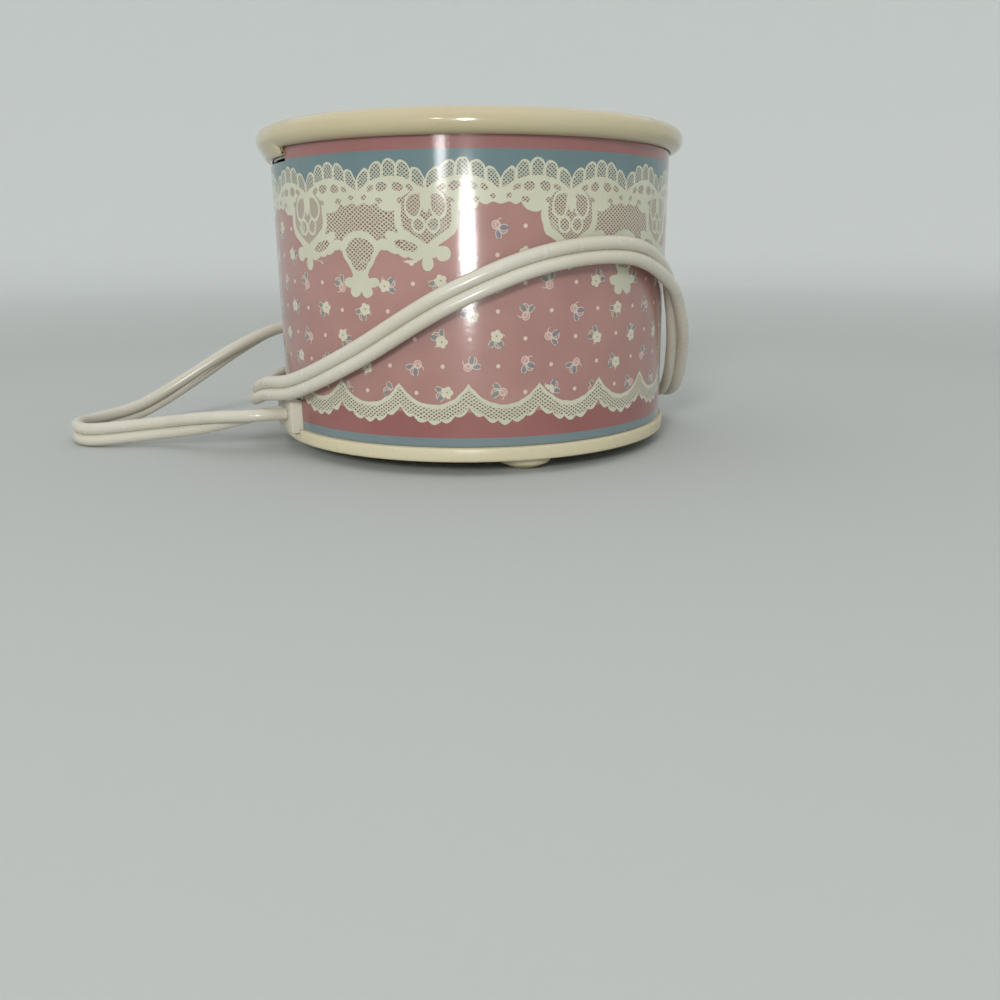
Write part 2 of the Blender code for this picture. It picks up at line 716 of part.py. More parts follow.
def heating_well():
    """The pressed well: its flange lies over the band's top edge, with a hem inside the band."""
    hem_outer = UPSTAND_RADIUS
    hem_inner = hem_outer - WELL_WALL
    well = turned(
        "heating_well",
        [
            (0, WELL_UNDERSIDE, 0),
            (WELL_RADIUS, WELL_UNDERSIDE, WELL_CORNER + WELL_WALL),
            (WELL_RADIUS, FLANGE_UNDERSIDE, 0),
            (hem_inner, FLANGE_UNDERSIDE, 0),
            (hem_inner, HEM_LOW, 0),
            (hem_outer, HEM_LOW, 0),
            (hem_outer, FLANGE_UNDERSIDE, 0),
            (FLANGE_RADIUS, FLANGE_UNDERSIDE, 0),
            (FLANGE_RADIUS, FLANGE_TOP, 0),
            (WELL_INNER, FLANGE_TOP, 0),
            (WELL_INNER, WELL_FLOOR, WELL_CORNER),
            (0, WELL_FLOOR, 0),
        ],
        HIDDEN_STEPS,
    )
    notch_half = LUG_HALF_ANGLE + NOTCH_SIDE_ANGLE
    relief_radius = LUG_INNER - SEAT_GAP
    relief = turned(
        "lug_relief",
        [
            (relief_radius, LUG_LOW - NOTCH_FLOOR_FIT, 0),
            (RIM_RADIUS, LUG_LOW - NOTCH_FLOOR_FIT, 0),
            (RIM_RADIUS, CROWN, 0),
            (relief_radius, CROWN, 0),
        ],
        10,
        2 * notch_half,
        LUG_AZIMUTH - notch_half,
    )
    join_or_cut(well, [relief])
    return finish(smooth(well), (0.62, 0.62, 0.6), 0.35, 1.0)


def heater_route():
    """Points of the heating wire: up round the well, one return bend, and back beside itself."""
    turn = WIRE_TURN_COUNT * 360
    steps = round(WIRE_TURN_COUNT * WIRE_TURN_STEPS)
    rise = WIRE_PITCH * WIRE_TURN_COUNT
    bend = WIRE_PITCH / 4
    degrees_per_length = math.degrees(1 / WIRE_CIRCLE)
    path = []
    for k in range(steps + 1):
        path.append((turn * k / steps, WIRE_LOW + rise * k / steps))
    for k in range(1, 6):
        angle = math.pi * k / 6
        ahead = bend * math.sin(angle) * degrees_per_length
        path.append((turn + ahead, WIRE_LOW + rise + bend - bend * math.cos(angle)))
    for k in range(steps + 1):
        path.append((turn - turn * k / steps, WIRE_HIGH - rise * k / steps))
    points = [polar(WIRE_AZIMUTH + a, WIRE_CIRCLE, z) for a, z in path]
    lead_in = tail(WIRE_AZIMUTH, -TAIL_SLANT_ANGLE, WIRE_LOW)
    lead_out = tail(WIRE_AZIMUTH - TAIL_ANGLE, TAIL_SLANT_ANGLE, WIRE_LOW + WIRE_PITCH / 2)
    return lead_in + points + lead_out[::-1]


def tail(azimuth, slant, top):
    """Points of a wire's tail, from its crimp under the well up to the winding."""
    rise = top - WIRING_HEIGHT
    return [
        polar(azimuth + slant, TAIL_CIRCLE, WIRING_HEIGHT),
        polar(azimuth + slant, WELL_RADIUS - WELL_CORNER / 3, WIRING_HEIGHT),
        polar(azimuth + slant, WIRE_CIRCLE - WIRE_RADIUS, WIRING_HEIGHT + rise * 0.35),
        polar(azimuth + slant, WIRE_CIRCLE, WIRING_HEIGHT + rise * 0.58),
        polar(azimuth + slant * 0.6, WIRE_CIRCLE, WIRING_HEIGHT + rise * 0.8),
    ]


def heater():
    """The heating wire on the well, the foil wrap that holds it, and the blanket round both."""
    points = heater_route()
    least_gap("heater_wire", points, 2 * WIRE_RADIUS, WIRE_PITCH)
    finish(wire("heater_wire", points, WIRE_RADIUS), (0.7, 0.68, 0.6), 0.7)
    wrap = turned(
        "heater_wrap",
        [
            (WRAP_INNER, WIRE_LOW - WRAP_MARGIN, 0),
            (WRAP_RADIUS, WIRE_LOW - WRAP_MARGIN, 0),
            (WRAP_RADIUS, WIRE_HIGH + WRAP_MARGIN, 0),
            (WRAP_INNER, WIRE_HIGH + WRAP_MARGIN, 0),
        ],
        HIDDEN_STEPS,
    )
    finish(smooth(wrap), (0.75, 0.75, 0.75), 0.3, 1.0)
    high = HEM_LOW - SEAM_STRIP_MARGIN
    blanket = turned(
        "insulation_blanket",
        [
            (BLANKET_INNER, BLANKET_LOW, 0),
            (BLANKET_RADIUS, BLANKET_LOW, 0),
            (BLANKET_RADIUS, high, 0),
            (BLANKET_INNER, high, 0),
        ],
        HIDDEN_STEPS,
    )
    finish(smooth(blanket), (0.8, 0.76, 0.6), 0.95)


def centre_stack():
    """The stud that clamps well and base together, with its spacer, heat shield, washer and nut."""
    flange_low = STUD_TOP - STUD_FLANGE
    washer_top = POCKET_CEILING - SEAT_GAP
    nut_top = washer_top - WASHER_WALL - SEAT_GAP
    stud = turned(
        "centre_stud",
        [
            (0, nut_top - NUT_HEIGHT - STUD_OVERHANG, 0),
            (STUD_RADIUS, nut_top - NUT_HEIGHT - STUD_OVERHANG, 0),
            (STUD_RADIUS, flange_low, 0),
            (STUD_FLANGE_RADIUS, flange_low, 0),
            (STUD_FLANGE_RADIUS, STUD_TOP, 0),
            (0, STUD_TOP, 0),
        ],
        SMALL_STEPS,
    )
    finish(smooth(stud), (0.6, 0.6, 0.58), 0.4, 1.0)
    shield_low = BOSS_TOP + SEAT_GAP
    shield_top = shield_low + SHIELD_WALL
    spacer_radius = STUD_HOLE + SPACER_WALL
    collar("shield_spacer", spacer_radius, shield_top + SEAT_GAP, flange_low - SEAT_GAP)
    shield = turned(
        "heat_shield",
        [
            (STUD_HOLE, shield_low, 0),
            (SHIELD_RADIUS - SHIELD_WALL, shield_low, 0),
            (SHIELD_RADIUS - SHIELD_WALL, shield_low - SHIELD_LIP, 0),
            (SHIELD_RADIUS, shield_low - SHIELD_LIP, 0),
            (SHIELD_RADIUS, shield_top, 0),
            (STUD_HOLE, shield_top, 0),
        ],
        32,
    )
    finish(smooth(shield), (0.7, 0.7, 0.7), 0.3, 1.0)
    collar("washer", WASHER_RADIUS, washer_top - WASHER_WALL, washer_top)
    corners = [polar(60 * k, NUT_WIDTH / math.sqrt(3), 0).xy for k in range(6)]
    nut = prism("clamp_nut", corners, nut_top - NUT_HEIGHT, nut_top, NUT_EDGE)
    join_or_cut(nut, [rod("bore", STUD_HOLE, 0, SEAT)])
    finish(nut, (0.6, 0.6, 0.58), 0.4, 1.0)


def collar(name, radius, low, high):
    ring = turned(
        name,
        [(STUD_HOLE, low, 0), (radius, low, 0), (radius, high, 0), (STUD_HOLE, high, 0)],
        SMALL_STEPS,
    )
    return finish(smooth(ring), (0.6, 0.6, 0.58), 0.4, 1.0)


def lay_along(body, place, direction):
    """Turns a body made along Z to a level direction, with its middle at a place."""
    body.rotation_euler = Vector(direction).to_track_quat("Z", "Y").to_euler()
    body.location = place
    return body


def wiring():
    """Both leads from the outlet block, the thermal fuse in its clip, and the two crimps."""
    fuse_height = WELL_UNDERSIDE - SEAT_GAP - CLIP_WALL - FUSE_RADIUS
    along = polar(FUSE_AZIMUTH + 90, 1, 0)
    middle = polar(FUSE_AZIMUTH, FUSE_CIRCLE, fuse_height)
    fuse = rod("thermal_fuse", FUSE_RADIUS, -FUSE_LENGTH / 2, FUSE_LENGTH / 2)
    finish(smooth(lay_along(fuse, middle, along)), (0.75, 0.72, 0.66), 0.5)
    fuse_clip(fuse_height)

    live_azimuth = WIRE_AZIMUTH - TAIL_ANGLE + TAIL_SLANT_ANGLE
    neutral_azimuth = WIRE_AZIMUTH - TAIL_SLANT_ANGLE
    live_crimp = crimp("crimp_live", polar(live_azimuth, TAIL_CIRCLE, WIRING_HEIGHT))
    neutral_crimp = crimp("crimp_neutral", polar(neutral_azimuth, TAIL_CIRCLE, WIRING_HEIGHT))

    start = polar(BLOCK_AZIMUTH, BLOCK_INNER_FACE - SEAT_GAP, (BLOCK_LOW + BLOCK_TOP) / 2)
    inward = polar(BLOCK_AZIMUTH, -LEAD_RUN, 0)
    aside = polar(BLOCK_AZIMUTH + 90, LEAD_SPACING / 2, 0)
    half_fuse = along * (FUSE_LENGTH / 2 + SEAT_GAP)
    lead(
        "lead_live",
        [
            start + aside,
            start + aside + inward,
            polar(-52, LEAD_CIRCLE, WIRING_HEIGHT - LEAD_RADIUS / 2),
            polar(-38, LEAD_CIRCLE, WIRING_HEIGHT),
            middle - half_fuse - along * LEAD_RUN,
            middle - half_fuse,
        ],
    )
    lead(
        "fuse_lead",
        [
            middle + half_fuse,
            middle + half_fuse + along * LEAD_RUN * 0.75,
            polar(8, LEAD_CIRCLE - 2 * LEAD_RUN, WIRING_HEIGHT),
            live_crimp - polar(live_azimuth, LEAD_RUN, 0),
            live_crimp,
        ],
    )
    round_the_base = [polar(-a, LEAD_CIRCLE, WIRING_HEIGHT) for a in (92, 140, 190, 240)]
    lead(
        "lead_neutral",
        [
            start - aside,
            start - aside + inward,
            *round_the_base,
            polar(75, LEAD_CIRCLE - 2 * LEAD_RUN, WIRING_HEIGHT),
            neutral_crimp - polar(neutral_azimuth, LEAD_RUN, 0),
            neutral_crimp,
        ],
    )


def crimp(name, wire_end):
    """A crimp lying radially just inside a wire's end; gives the place of its inner end."""
    outward = Vector((wire_end.x, wire_end.y, 0)).normalized()
    middle = wire_end - outward * (SEAT_GAP + CRIMP_LENGTH / 2)
    sleeve = rod(name, CRIMP_RADIUS, -CRIMP_LENGTH / 2, CRIMP_LENGTH / 2, 12)
    finish(smooth(lay_along(sleeve, middle, outward)), (0.7, 0.7, 0.7), 0.35, 1.0)
    return middle - outward * (SEAT_GAP + CRIMP_LENGTH / 2)


def lead(name, points):
    """A lead whose first and last runs are straight, square to what they meet."""
    bent = through([p.to_4d() for p in points[1:-1]], 4 * len(points))
    line = [points[0], *[p.to_3d() for p in bent], points[-1]]
    return finish(wire(name, line, LEAD_RADIUS), (0.85, 0.85, 0.82), 0.5)


def fuse_clip(fuse_height):
    """A strap over the fuse with a tab on each side, spot-welded under the well."""
    inner = FUSE_RADIUS + SEAT_GAP
    outer = inner + CLIP_WALL
    tab_top = WELL_UNDERSIDE - SEAT_GAP
    tab_low = tab_top - CLIP_WALL
    steps = 8
    outline = [(outer + CLIP_TAB, tab_top), (outer + CLIP_TAB, tab_low), (outer, tab_low)]
    turns = [math.pi * k / steps for k in range(steps + 1)]
    outline += [(outer * math.cos(a), fuse_height - outer * math.sin(a)) for a in turns]
    outline += [(-outer, tab_low), (-outer - CLIP_TAB, tab_low), (-outer - CLIP_TAB, tab_top)]
    outline += [(-inner, tab_top)]
    outline += [(-inner * math.cos(a), fuse_height - inner * math.sin(a)) for a in turns]
    outline += [(inner, tab_top)]
    clip = prism("fuse_clip", outline, -CLIP_WIDTH / 2, CLIP_WIDTH / 2)
    clip.data.transform(Matrix(((0, 0, 1, 0), (1, 0, 0, 0), (0, 1, 0, 0), (0, 0, 0, 1))))
    clip.location = polar(FUSE_AZIMUTH, FUSE_CIRCLE, 0)
    turn_to(clip, FUSE_AZIMUTH)
    return finish(smooth(clip), (0.7, 0.7, 0.68), 0.35, 1.0)


def power_cord():
    """The flat twin lead as one tube with round edges, along its smooth route."""
    places = [Vector((x * MM, y * MM, z * MM, lean)) for x, y, z, lean in CORD_ROUTE]
    line = through(places, CORD_STEPS)
    points = [p.to_3d() for p in line]
    least_gap("power_cord", points, CORD_WIDTH, 4 * CORD_WIDTH)
    widen = (CORD_WIDTH - CORD_THICKNESS) / 2
    cord = tube("power_cord", points, CORD_THICKNESS / 2, widen, [p.w for p in line], 2)
    return finish(cord, (0.82, 0.79, 0.7), 0.4)


def lofted(name, sections):
    """A body through cross-sections of (distance along X, half width, half height)."""
    bm = bmesh.new()
    rings = []
    for along, half_width, half_height in sections:
        corner = min(half_width, half_height) * 0.55
        ring = []
        for k in range(4):
            across = half_width - corner
            up = half_height - corner
            middle = Vector((across if k in (0, 3) else -across, up if k < 2 else -up))
            for step in range(4):
                angle = math.pi / 2 * (k + step / 3)
                spot = middle + corner * Vector((math.cos(angle), math.sin(angle)))
                ring.append(bm.verts.new((along, spot.x, spot.y)))
        rings.append(ring)
    for a, b in zip(rings, rings[1:]):
        for i in range(len(a)):
            j = (i + 1) % len(a)
            bm.faces.new((a[i], a[j], b[j], b[i]))
    bm.faces.new(rings[0])
    bm.faces.new(rings[-1])
    return closed(name, bm)


def plug():
    """The moulded plug and its two blades, lying behind the pot at the cord's end."""
    x, y, z = (value * MM for value in CORD_ROUTE[-1][:3])
    rear = x - SEAT_GAP
    front = rear - PLUG_LENGTH
    neck_width = CORD_WIDTH / 2 + PLUG_NECK_MARGIN
    neck_height = CORD_THICKNESS / 2 + PLUG_NECK_MARGIN
    half_width = PLUG_WIDTH / 2
    half_height = PLUG_THICKNESS / 2
    sections = []
    for k in range(2 * PLUG_RIB_COUNT + 1):
        at = PLUG_NECK_LENGTH * k / (2 * PLUG_RIB_COUNT)
        rib = PLUG_RIB * (k % 2) + at / 12
        sections += [
            (rear - at, neck_width + rib, neck_height + rib),
            (rear - at - PLUG_NECK_LENGTH / 14, neck_width + rib, neck_height + rib),
        ]
    shoulder = rear - PLUG_NECK_LENGTH * 1.5
    sections += [
        (shoulder, half_width * 0.76, half_height * 0.82),
        (shoulder - PLUG_NECK_LENGTH * 0.5, half_width * 0.95, half_height * 0.95),
        (shoulder - PLUG_NECK_LENGTH, half_width, half_height),
        (front + PLUG_EDGE, half_width, half_height),
        (front, half_width - PLUG_EDGE, half_height - PLUG_EDGE),
    ]
    body = lofted("plug_body", sections)
    body.location = (0, y, z)
    finish(smooth(body), (0.82, 0.79, 0.7), 0.45)
    for number, side in enumerate((-1, 1)):
        tip = -BLADE_LENGTH
        half = BLADE_WIDTH / 2
        outline = [(0, -half), (0, half), (tip + half / 2, half), (tip, half / 2)]
        outline += [(tip, -half / 2), (tip + half / 2, -half)]
        blade = prism(f"plug_blade_{number + 1}", outline, -BLADE_WALL / 2, BLADE_WALL / 2)
        hole = rod("blade_hole", BLADE_HOLE_RADIUS, -BLADE_WALL, BLADE_WALL, 12)
        hole.location = (tip + BLADE_HOLE_INSET, 0, 0)
        join_or_cut(blade, [hole])
        blade.rotation_euler = (math.pi / 2, 0, 0)
        blade.location = (front - SEAT_GAP, y + side * BLADE_SPACING / 2, z)
        finish(blade, (0.78, 0.7, 0.5), 0.3, 1.0)


def main():
    for thing in list(bpy.data.objects):
        bpy.data.objects.remove(thing)
    crock()
    printed_band()
    seam_strip()
    base_pan()
    for number in range(FOOT_COUNT):
        foot(number)
    outlet_block()
    heating_well()
    heater()
    centre_stack()
    wiring()
    power_cord()
    plug()


main()
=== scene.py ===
import math

import bmesh
import bpy
from mathutils import Matrix, Vector


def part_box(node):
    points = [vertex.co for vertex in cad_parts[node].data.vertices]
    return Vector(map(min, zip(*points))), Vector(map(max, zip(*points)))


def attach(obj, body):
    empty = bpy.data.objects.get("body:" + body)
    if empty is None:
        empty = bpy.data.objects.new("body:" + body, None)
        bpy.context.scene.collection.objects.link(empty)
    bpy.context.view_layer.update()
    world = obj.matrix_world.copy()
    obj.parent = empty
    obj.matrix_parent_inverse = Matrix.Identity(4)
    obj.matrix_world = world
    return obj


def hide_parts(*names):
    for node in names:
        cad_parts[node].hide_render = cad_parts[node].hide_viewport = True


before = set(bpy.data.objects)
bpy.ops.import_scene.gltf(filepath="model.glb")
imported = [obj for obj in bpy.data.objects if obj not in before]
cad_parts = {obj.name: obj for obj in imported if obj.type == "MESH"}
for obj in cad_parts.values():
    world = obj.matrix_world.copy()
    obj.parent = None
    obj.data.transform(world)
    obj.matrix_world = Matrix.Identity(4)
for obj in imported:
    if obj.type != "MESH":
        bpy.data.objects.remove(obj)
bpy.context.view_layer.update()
scene = bpy.context.scene
mm = 0.001
print("frame loaded:", len(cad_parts), "nodes")


# camera, fitted to the rim, the band's edges and the base ring
camera = {
    "place": (0.0, -294.5, 60.5),
    "yawRight": 1.64,
    "pitchDown": 16.08,
    "roll": -0.36,
    "focal": 31.73,
    "sensor": 36.0,
}


def makeCamera():
    lens = bpy.data.cameras.new("camera")
    lens.lens = camera["focal"]
    lens.sensor_width = camera["sensor"]
    lens.clip_start = 0.01
    lens.clip_end = 20
    eye = bpy.data.objects.new("camera", lens)
    scene.collection.objects.link(eye)
    turn = Matrix.Rotation(math.radians(-camera["yawRight"]), 4, "Z")
    tip = Matrix.Rotation(math.radians(90 - camera["pitchDown"]), 4, "X")
    bank = Matrix.Rotation(math.radians(camera["roll"]), 4, "Z")
    eye.matrix_world = Matrix.Translation(Vector(camera["place"]) * mm) @ turn @ tip @ bank
    scene.camera = eye


makeCamera()
scene.view_settings.view_transform = "Standard"
print("camera placed")


# shader maths: a Val is a node's output, and an expression on Vals adds the nodes for it
class Val:
    def __init__(self, graph, socket):
        self.graph = graph
        self.socket = socket

    def __add__(self, other):
        return self.graph.maths("ADD", self, other)

    def __sub__(self, other):
        return self.graph.maths("SUBTRACT", self, other)

    def __rsub__(self, other):
        return self.graph.maths("SUBTRACT", other, self)

    def __mul__(self, other):
        return self.graph.maths("MULTIPLY", self, other)


class Graph:
    def __init__(self, name, constants):
        self.material = bpy.data.materials.new(name)
        self.material.use_nodes = True
        self.tree = self.material.node_tree
        self.shader = self.tree.nodes["Principled BSDF"]
        for key, value in constants.items():
            self.feed(self.shader.inputs[key], value)

    # any node: its type, its settings, then the values or links of its sockets
    def node(self, kind, settings, sockets, out=0):
        made = self.tree.nodes.new(kind)
        for key, value in settings.items():
            setattr(made, key, value)
        for key, value in sockets.items():
            self.feed(made.inputs[key], value)
        return Val(self, made.outputs[out])

    def feed(self, socket, value):
        if isinstance(value, Val):
            self.tree.links.new(value.socket, socket)
        else:
            socket.default_value = value

    def maths(self, operation, a, b=0.0, c=0.0, clamp=False):
        settings = {"operation": operation, "use_clamp": clamp}
        return self.node("ShaderNodeMath", settings, {0: a, 1: b, 2: c})

    def least(self, *values):
        found = values[0]
        for value in values[1:]:
            found = self.maths("MINIMUM", found, value)
        return found

    def most(self, *values):
        found = values[0]
        for value in values[1:]:
            found = self.maths("MAXIMUM", found, value)
        return found

    # distance from the nearest multiple of twice half
    def fold(self, value, half):
        return self.maths("PINGPONG", value, half)

    def point(self, across, down):
        return self.node("ShaderNodeCombineXYZ", {}, {"X": across, "Y": down})

    def part(self, spot, axis):
        return self.node("ShaderNodeSeparateXYZ", {}, {"Vector": spot}, axis)

    def vector(self, operation, *values):
        return self.node("ShaderNodeVectorMath", {"operation": operation}, dict(enumerate(values)))

    def length(self, spot):
        return self.node("ShaderNodeVectorMath", {"operation": "LENGTH"}, {0: spot}, 1)

    # distance from an ellipse's edge, below zero inside it
    def ellipse(self, spot, across, down, wide, tall, turn=0.0):
        sockets = {
            "Vector": spot,
            "Location": (across, down, 0),
            "Rotation": (0, 0, math.radians(turn)),
            "Scale": (wide, tall, 1),
        }
        local = self.node("ShaderNodeMapping", {"vector_type": "TEXTURE"}, sockets)
        size = min(wide, tall)
        return self.maths("MULTIPLY_ADD", self.length(local), size, -size)

    # 1 where a distance is below zero, with an edge that wide
    def inside(self, distance, edge=0.12):
        return self.maths("MULTIPLY_ADD", distance, -1 / edge, 0.5, True)

    # a Mix node's colours are its sockets 6 and 7, and its output 2
    def mix(self, mask, below, above):
        return self.node("ShaderNodeMix", {"data_type": "RGBA"}, {0: mask, 6: below, 7: above}, 2)

    def objectPlace(self):
        return self.node("ShaderNodeTexCoord", {}, {}, "Object")

    def noise(self, place, scale, detail=2.0, roughness=0.5):
        sockets = {"Vector": place, "Scale": scale, "Detail": detail, "Roughness": roughness}
        return self.node("ShaderNodeTexNoise", {}, sockets)

    def spread(self, value, low, high, toLow, toHigh):
        sockets = {0: value, 1: low, 2: high, 3: toLow, 4: toHigh}
        return self.node("ShaderNodeMapRange", {}, sockets)

    # a slow change from 0 to 1 and back over a surface
    def drift(self, place, scale):
        return self.spread(self.noise(place, scale, 3.0), 0.35, 0.65, 0, 1)

    def drifted(self, pair, drift):
        return self.mix(drift, tint(*pair[0]), tint(*pair[1]))

    def bump(self, height, distance):
        sockets = {"Strength": 1.0, "Distance": distance, "Height": height}
        relief = self.node("ShaderNodeBump", {}, sockets)
        self.feed(self.shader.inputs["Normal"], relief)

    def colour(self, value):
        self.feed(self.shader.inputs["Base Color"], value)

    def roughness(self, value):
        self.feed(self.shader.inputs["Roughness"], value)


# a colour as a screen shows it, from 0 to 255, as the shader reads it
def tint(red, green, blue):
    parts = [value / 255 for value in (red, green, blue)]
    return tuple(p / 12.92 if p < 0.04 else ((p + 0.055) / 1.055) ** 2.4 for p in parts) + (1.0,)


# a surface whose colour drifts between two tints, with a fine grain in the gloss and the relief
def plainFinish(name, look):
    graph = Graph(name, look["fixed"])
    place = graph.objectPlace()
    graph.colour(graph.drifted(look["tints"], graph.drift(place, look["driftScale"])))
    grain = graph.noise(place, look["grainScale"], 2.0, 0.6)
    graph.roughness(graph.spread(grain, 0.3, 0.7, *look["gloss"]))
    graph.bump(grain, look["relief"] * mm)
    return graph.material


# bmesh makes faces in an order that changes from run to run, so they are sorted by place
def sortElements(elements, key):
    for index, element in enumerate(sorted(elements, key=key)):
        element.index = index
    elements.sort()
    elements.index_update()


def sortMesh(bm):
    sortElements(bm.verts, lambda vert: vert.co[:])
    sortElements(bm.edges, lambda edge: sorted(vert.index for vert in edge.verts))
    sortElements(bm.faces, lambda face: sorted(vert.index for vert in face.verts))


# pieces
def newPiece(name, bm, materials, body, smoothAngle):
    sortMesh(bm)
    mesh = bpy.data.meshes.new(name)
    bm.to_mesh(mesh)
    bm.free()
    thing = bpy.data.objects.new(name, mesh)
    scene.collection.objects.link(thing)
    for material in materials:
        mesh.materials.append(material)
    mesh.shade_smooth()
    mesh.set_sharp_from_angle(angle=math.radians(smoothAngle))
    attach(thing, body)
    return thing


def polar(azimuth, radius, height):
    angle = math.radians(azimuth)
    return Vector((radius * math.sin(angle), -radius * math.cos(angle), height))


# points of an outline whose corners are (across, up, fillet), in millimetres
def rounded(corners, arcStep=10.0):
    points = []
    for i, (across, up, fillet) in enumerate(corners):
        here = Vector((across, up))
        if fillet <= 0:
            points.append(here)
            continue
        before = (Vector(corners[i - 1][:2]) - here).normalized()
        after = (Vector(corners[(i + 1) % len(corners)][:2]) - here).normalized()
        half = before.angle(after) / 2
        middle = here + (before + after).normalized() * fillet / math.sin(half)
        start = here + before * fillet / math.tan(half) - middle
        end = here + after * fillet / math.tan(half) - middle
        steps = max(2, math.ceil(math.degrees(math.pi - 2 * half) / arcStep))
        points += [middle + fillet * start.slerp(end, k / steps) for k in range(steps + 1)]
    return points


# spins an outline of (radius, height, fillet) corners round the Z axis
def spun(corners, steps, sweep=360.0, start=0.0, closed=True):
    bm = bmesh.new()
    turn = Matrix.Rotation(math.radians(start), 3, "Z")
    ring = [bm.verts.new(turn @ Vector((0, -p.x, p.y)) * mm) for p in rounded(corners)]
    edges = [bm.edges.new(pair) for pair in zip(ring, ring[1:])]
    if closed and (corners[0][0] > 0 or corners[-1][0] > 0):
        edges.append(bm.edges.new((ring[-1], ring[0])))
    bmesh.ops.spin(
        bm,
        geom=ring + edges,
        cent=(0, 0, 0),
        axis=(0, 0, 1),
        angle=math.radians(sweep),
        steps=steps,
        use_merge=sweep == 360.0,
    )
    bmesh.ops.remove_doubles(bm, verts=bm.verts, dist=1e-7)
    if closed:
        bmesh.ops.holes_fill(bm, edges=[e for e in bm.edges if e.is_boundary], sides=0)
    bmesh.ops.recalc_face_normals(bm, faces=bm.faces)
    return bm


# a copy of a CAD node with its corners merged and its rounds shaded smooth
def dressed(node, material):
    bm = bmesh.new()
    bm.from_mesh(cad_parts[node].data)
    bmesh.ops.remove_doubles(bm, verts=bm.verts, dist=1e-6)
    thing = newPiece(node + "_finished", bm, [material], "housing", 30)
    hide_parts(node)


# flat twin lead: the same route as the solid's, x, y, z in millimetres and the lean from upright
cord = {
    "width": 7.3,
    "thickness": 3.7,
    "web": 0.8,
    "arcStep": 25.4,
    "length": 0.868,
    "stations": 420,
    "fineSteps": 80,
    "tints": ((206, 199, 182), (212, 207, 192)),
    "driftScale": 30.0,
    "grainScale": 500.0,
    "gloss": (0.24, 0.28),
    "relief": 0.001,
    "fixed": {"IOR": 1.5, "Coat Weight": 0.3, "Coat Roughness": 0.12},
    "route": [
        (-58.0, -26.9, 12.0, -90), (-66.0, -30.4, 11.9, -80), (-86.9, -24.0, 8.3, -20),
        (-99.3, -18.0, 6.0, -5), (-121.6, -16.9, 3.9, 0), (-127.4, -11.9, 3.9, 0),
        (-129.8, -4.2, 3.9, 4), (-127.7, 3.6, 3.9, 14), (-116.1, 15.0, 6.8, 30),
        (-82.9, 28.0, 26.8, 58), (-72.0, 34.5, 31.8, 74), (-56.3, 44.0, 33.5, 84),
        (-31.0, 59.0, 30.6, 90), (-3.0, 66.2, 24.6, 90), (26.5, 61.4, 17.8, 90),
        (48.0, 47.6, 12.8, 90), (63.0, 29.4, 10.2, 90), (67.9, 13.0, 12.0, 90),
        (66.2, -7.0, 29.8, 84), (61.4, -20.6, 44.4, 52), (57.0, -30.4, 51.4, 28),
        (43.4, -48.2, 58.9, 2), (19.8, -60.9, 57.4, 0), (-5.6, -63.8, 47.9, 0),
        (-33.0, -54.9, 31.8, 0), (-52.7, -38.3, 21.8, 0), (-62.6, -27.9, 19.6, 8),
        (-68.2, -17.6, 16.6, 16), (-69.8, -4.0, 15.8, 24), (-66.8, 11.0, 17.4, 26),
        (-60.0, 33.0, 16.2, 16),
        (-40.0, 67.0, 7.4, 0), (2.0, 83.0, 4.2, 0), (46.0, 86.4, 3.9, 0),
        (58.4, 92.6, 3.9, 0), (62.4, 104.0, 3.9, 0), (56.6, 114.4, 3.9, 0),
        (44.0, 118.4, 3.9, 0), (27.0, 118.8, 4.6, 28), (6.0, 118.0, 6.2, 86),
        (-26.0, 118.0, 6.3, 90),
    ],
}


# a point between the middle two of four points, on a centripetal curve through them
def catmull(four, t):
    knots = [0.0]
    for a, b in zip(four, four[1:]):
        knots.append(knots[-1] + math.sqrt((b - a).xyz.length))
    at = knots[1] + (knots[2] - knots[1]) * t

    def between(a, b, low, high):
        return a * ((high - at) / (high - low)) + b * ((at - low) / (high - low))

    first = [between(four[i], four[i + 1], knots[i], knots[i + 1]) for i in range(3)]
    second = [between(first[i], first[i + 1], knots[i], knots[i + 2]) for i in range(2)]
    return between(second[0], second[1], knots[1], knots[2])


# evenly spaced points on a smooth curve through the given ones
def through(points, count, steps):
    ends = [points[0] * 2 - points[1], *points, points[-1] * 2 - points[-2]]
    fine = []
    for i in range(1, len(ends) - 2):
        fine += [catmull(ends[i - 1 : i + 3], k / steps) for k in range(steps)]
    fine.append(points[-1])
    along = [0.0]
    for a, b in zip(fine, fine[1:]):
        along.append(along[-1] + (b - a).xyz.length)
    out = [fine[0]]
    i = 0
    for k in range(1, count - 1):
        goal = along[-1] * k / (count - 1)
        while along[i + 1] < goal:
            i += 1
        out.append(fine[i].lerp(fine[i + 1], (goal - along[i]) / (along[i + 1] - along[i])))
    out.append(fine[-1])
    return out


# section of the lead, width along Y: two round strands and the web between them
def twinOutline():
    radius = cord["thickness"] / 2
    offset = cord["width"] / 2 - radius
    outline = []
    for side in (1, -1):
        outline.append(Vector((side * cord["web"] / 2, 0)))
        for k in range(-6, 7):
            angle = math.radians(k * cord["arcStep"])
            across = side * (offset + radius * math.cos(angle))
            outline.append(Vector((-side * radius * math.sin(angle), across)))
    return outline


# the turn that stands the section square to the run, leaning from upright
def stand(ahead, lean):
    side = ahead.cross(Vector((0, 0, 1))).normalized()
    up = side.cross(ahead)
    angle = math.radians(lean)
    wide = up * math.cos(angle) + side * math.sin(angle)
    return Matrix((ahead.cross(wide), wide, ahead)).transposed()


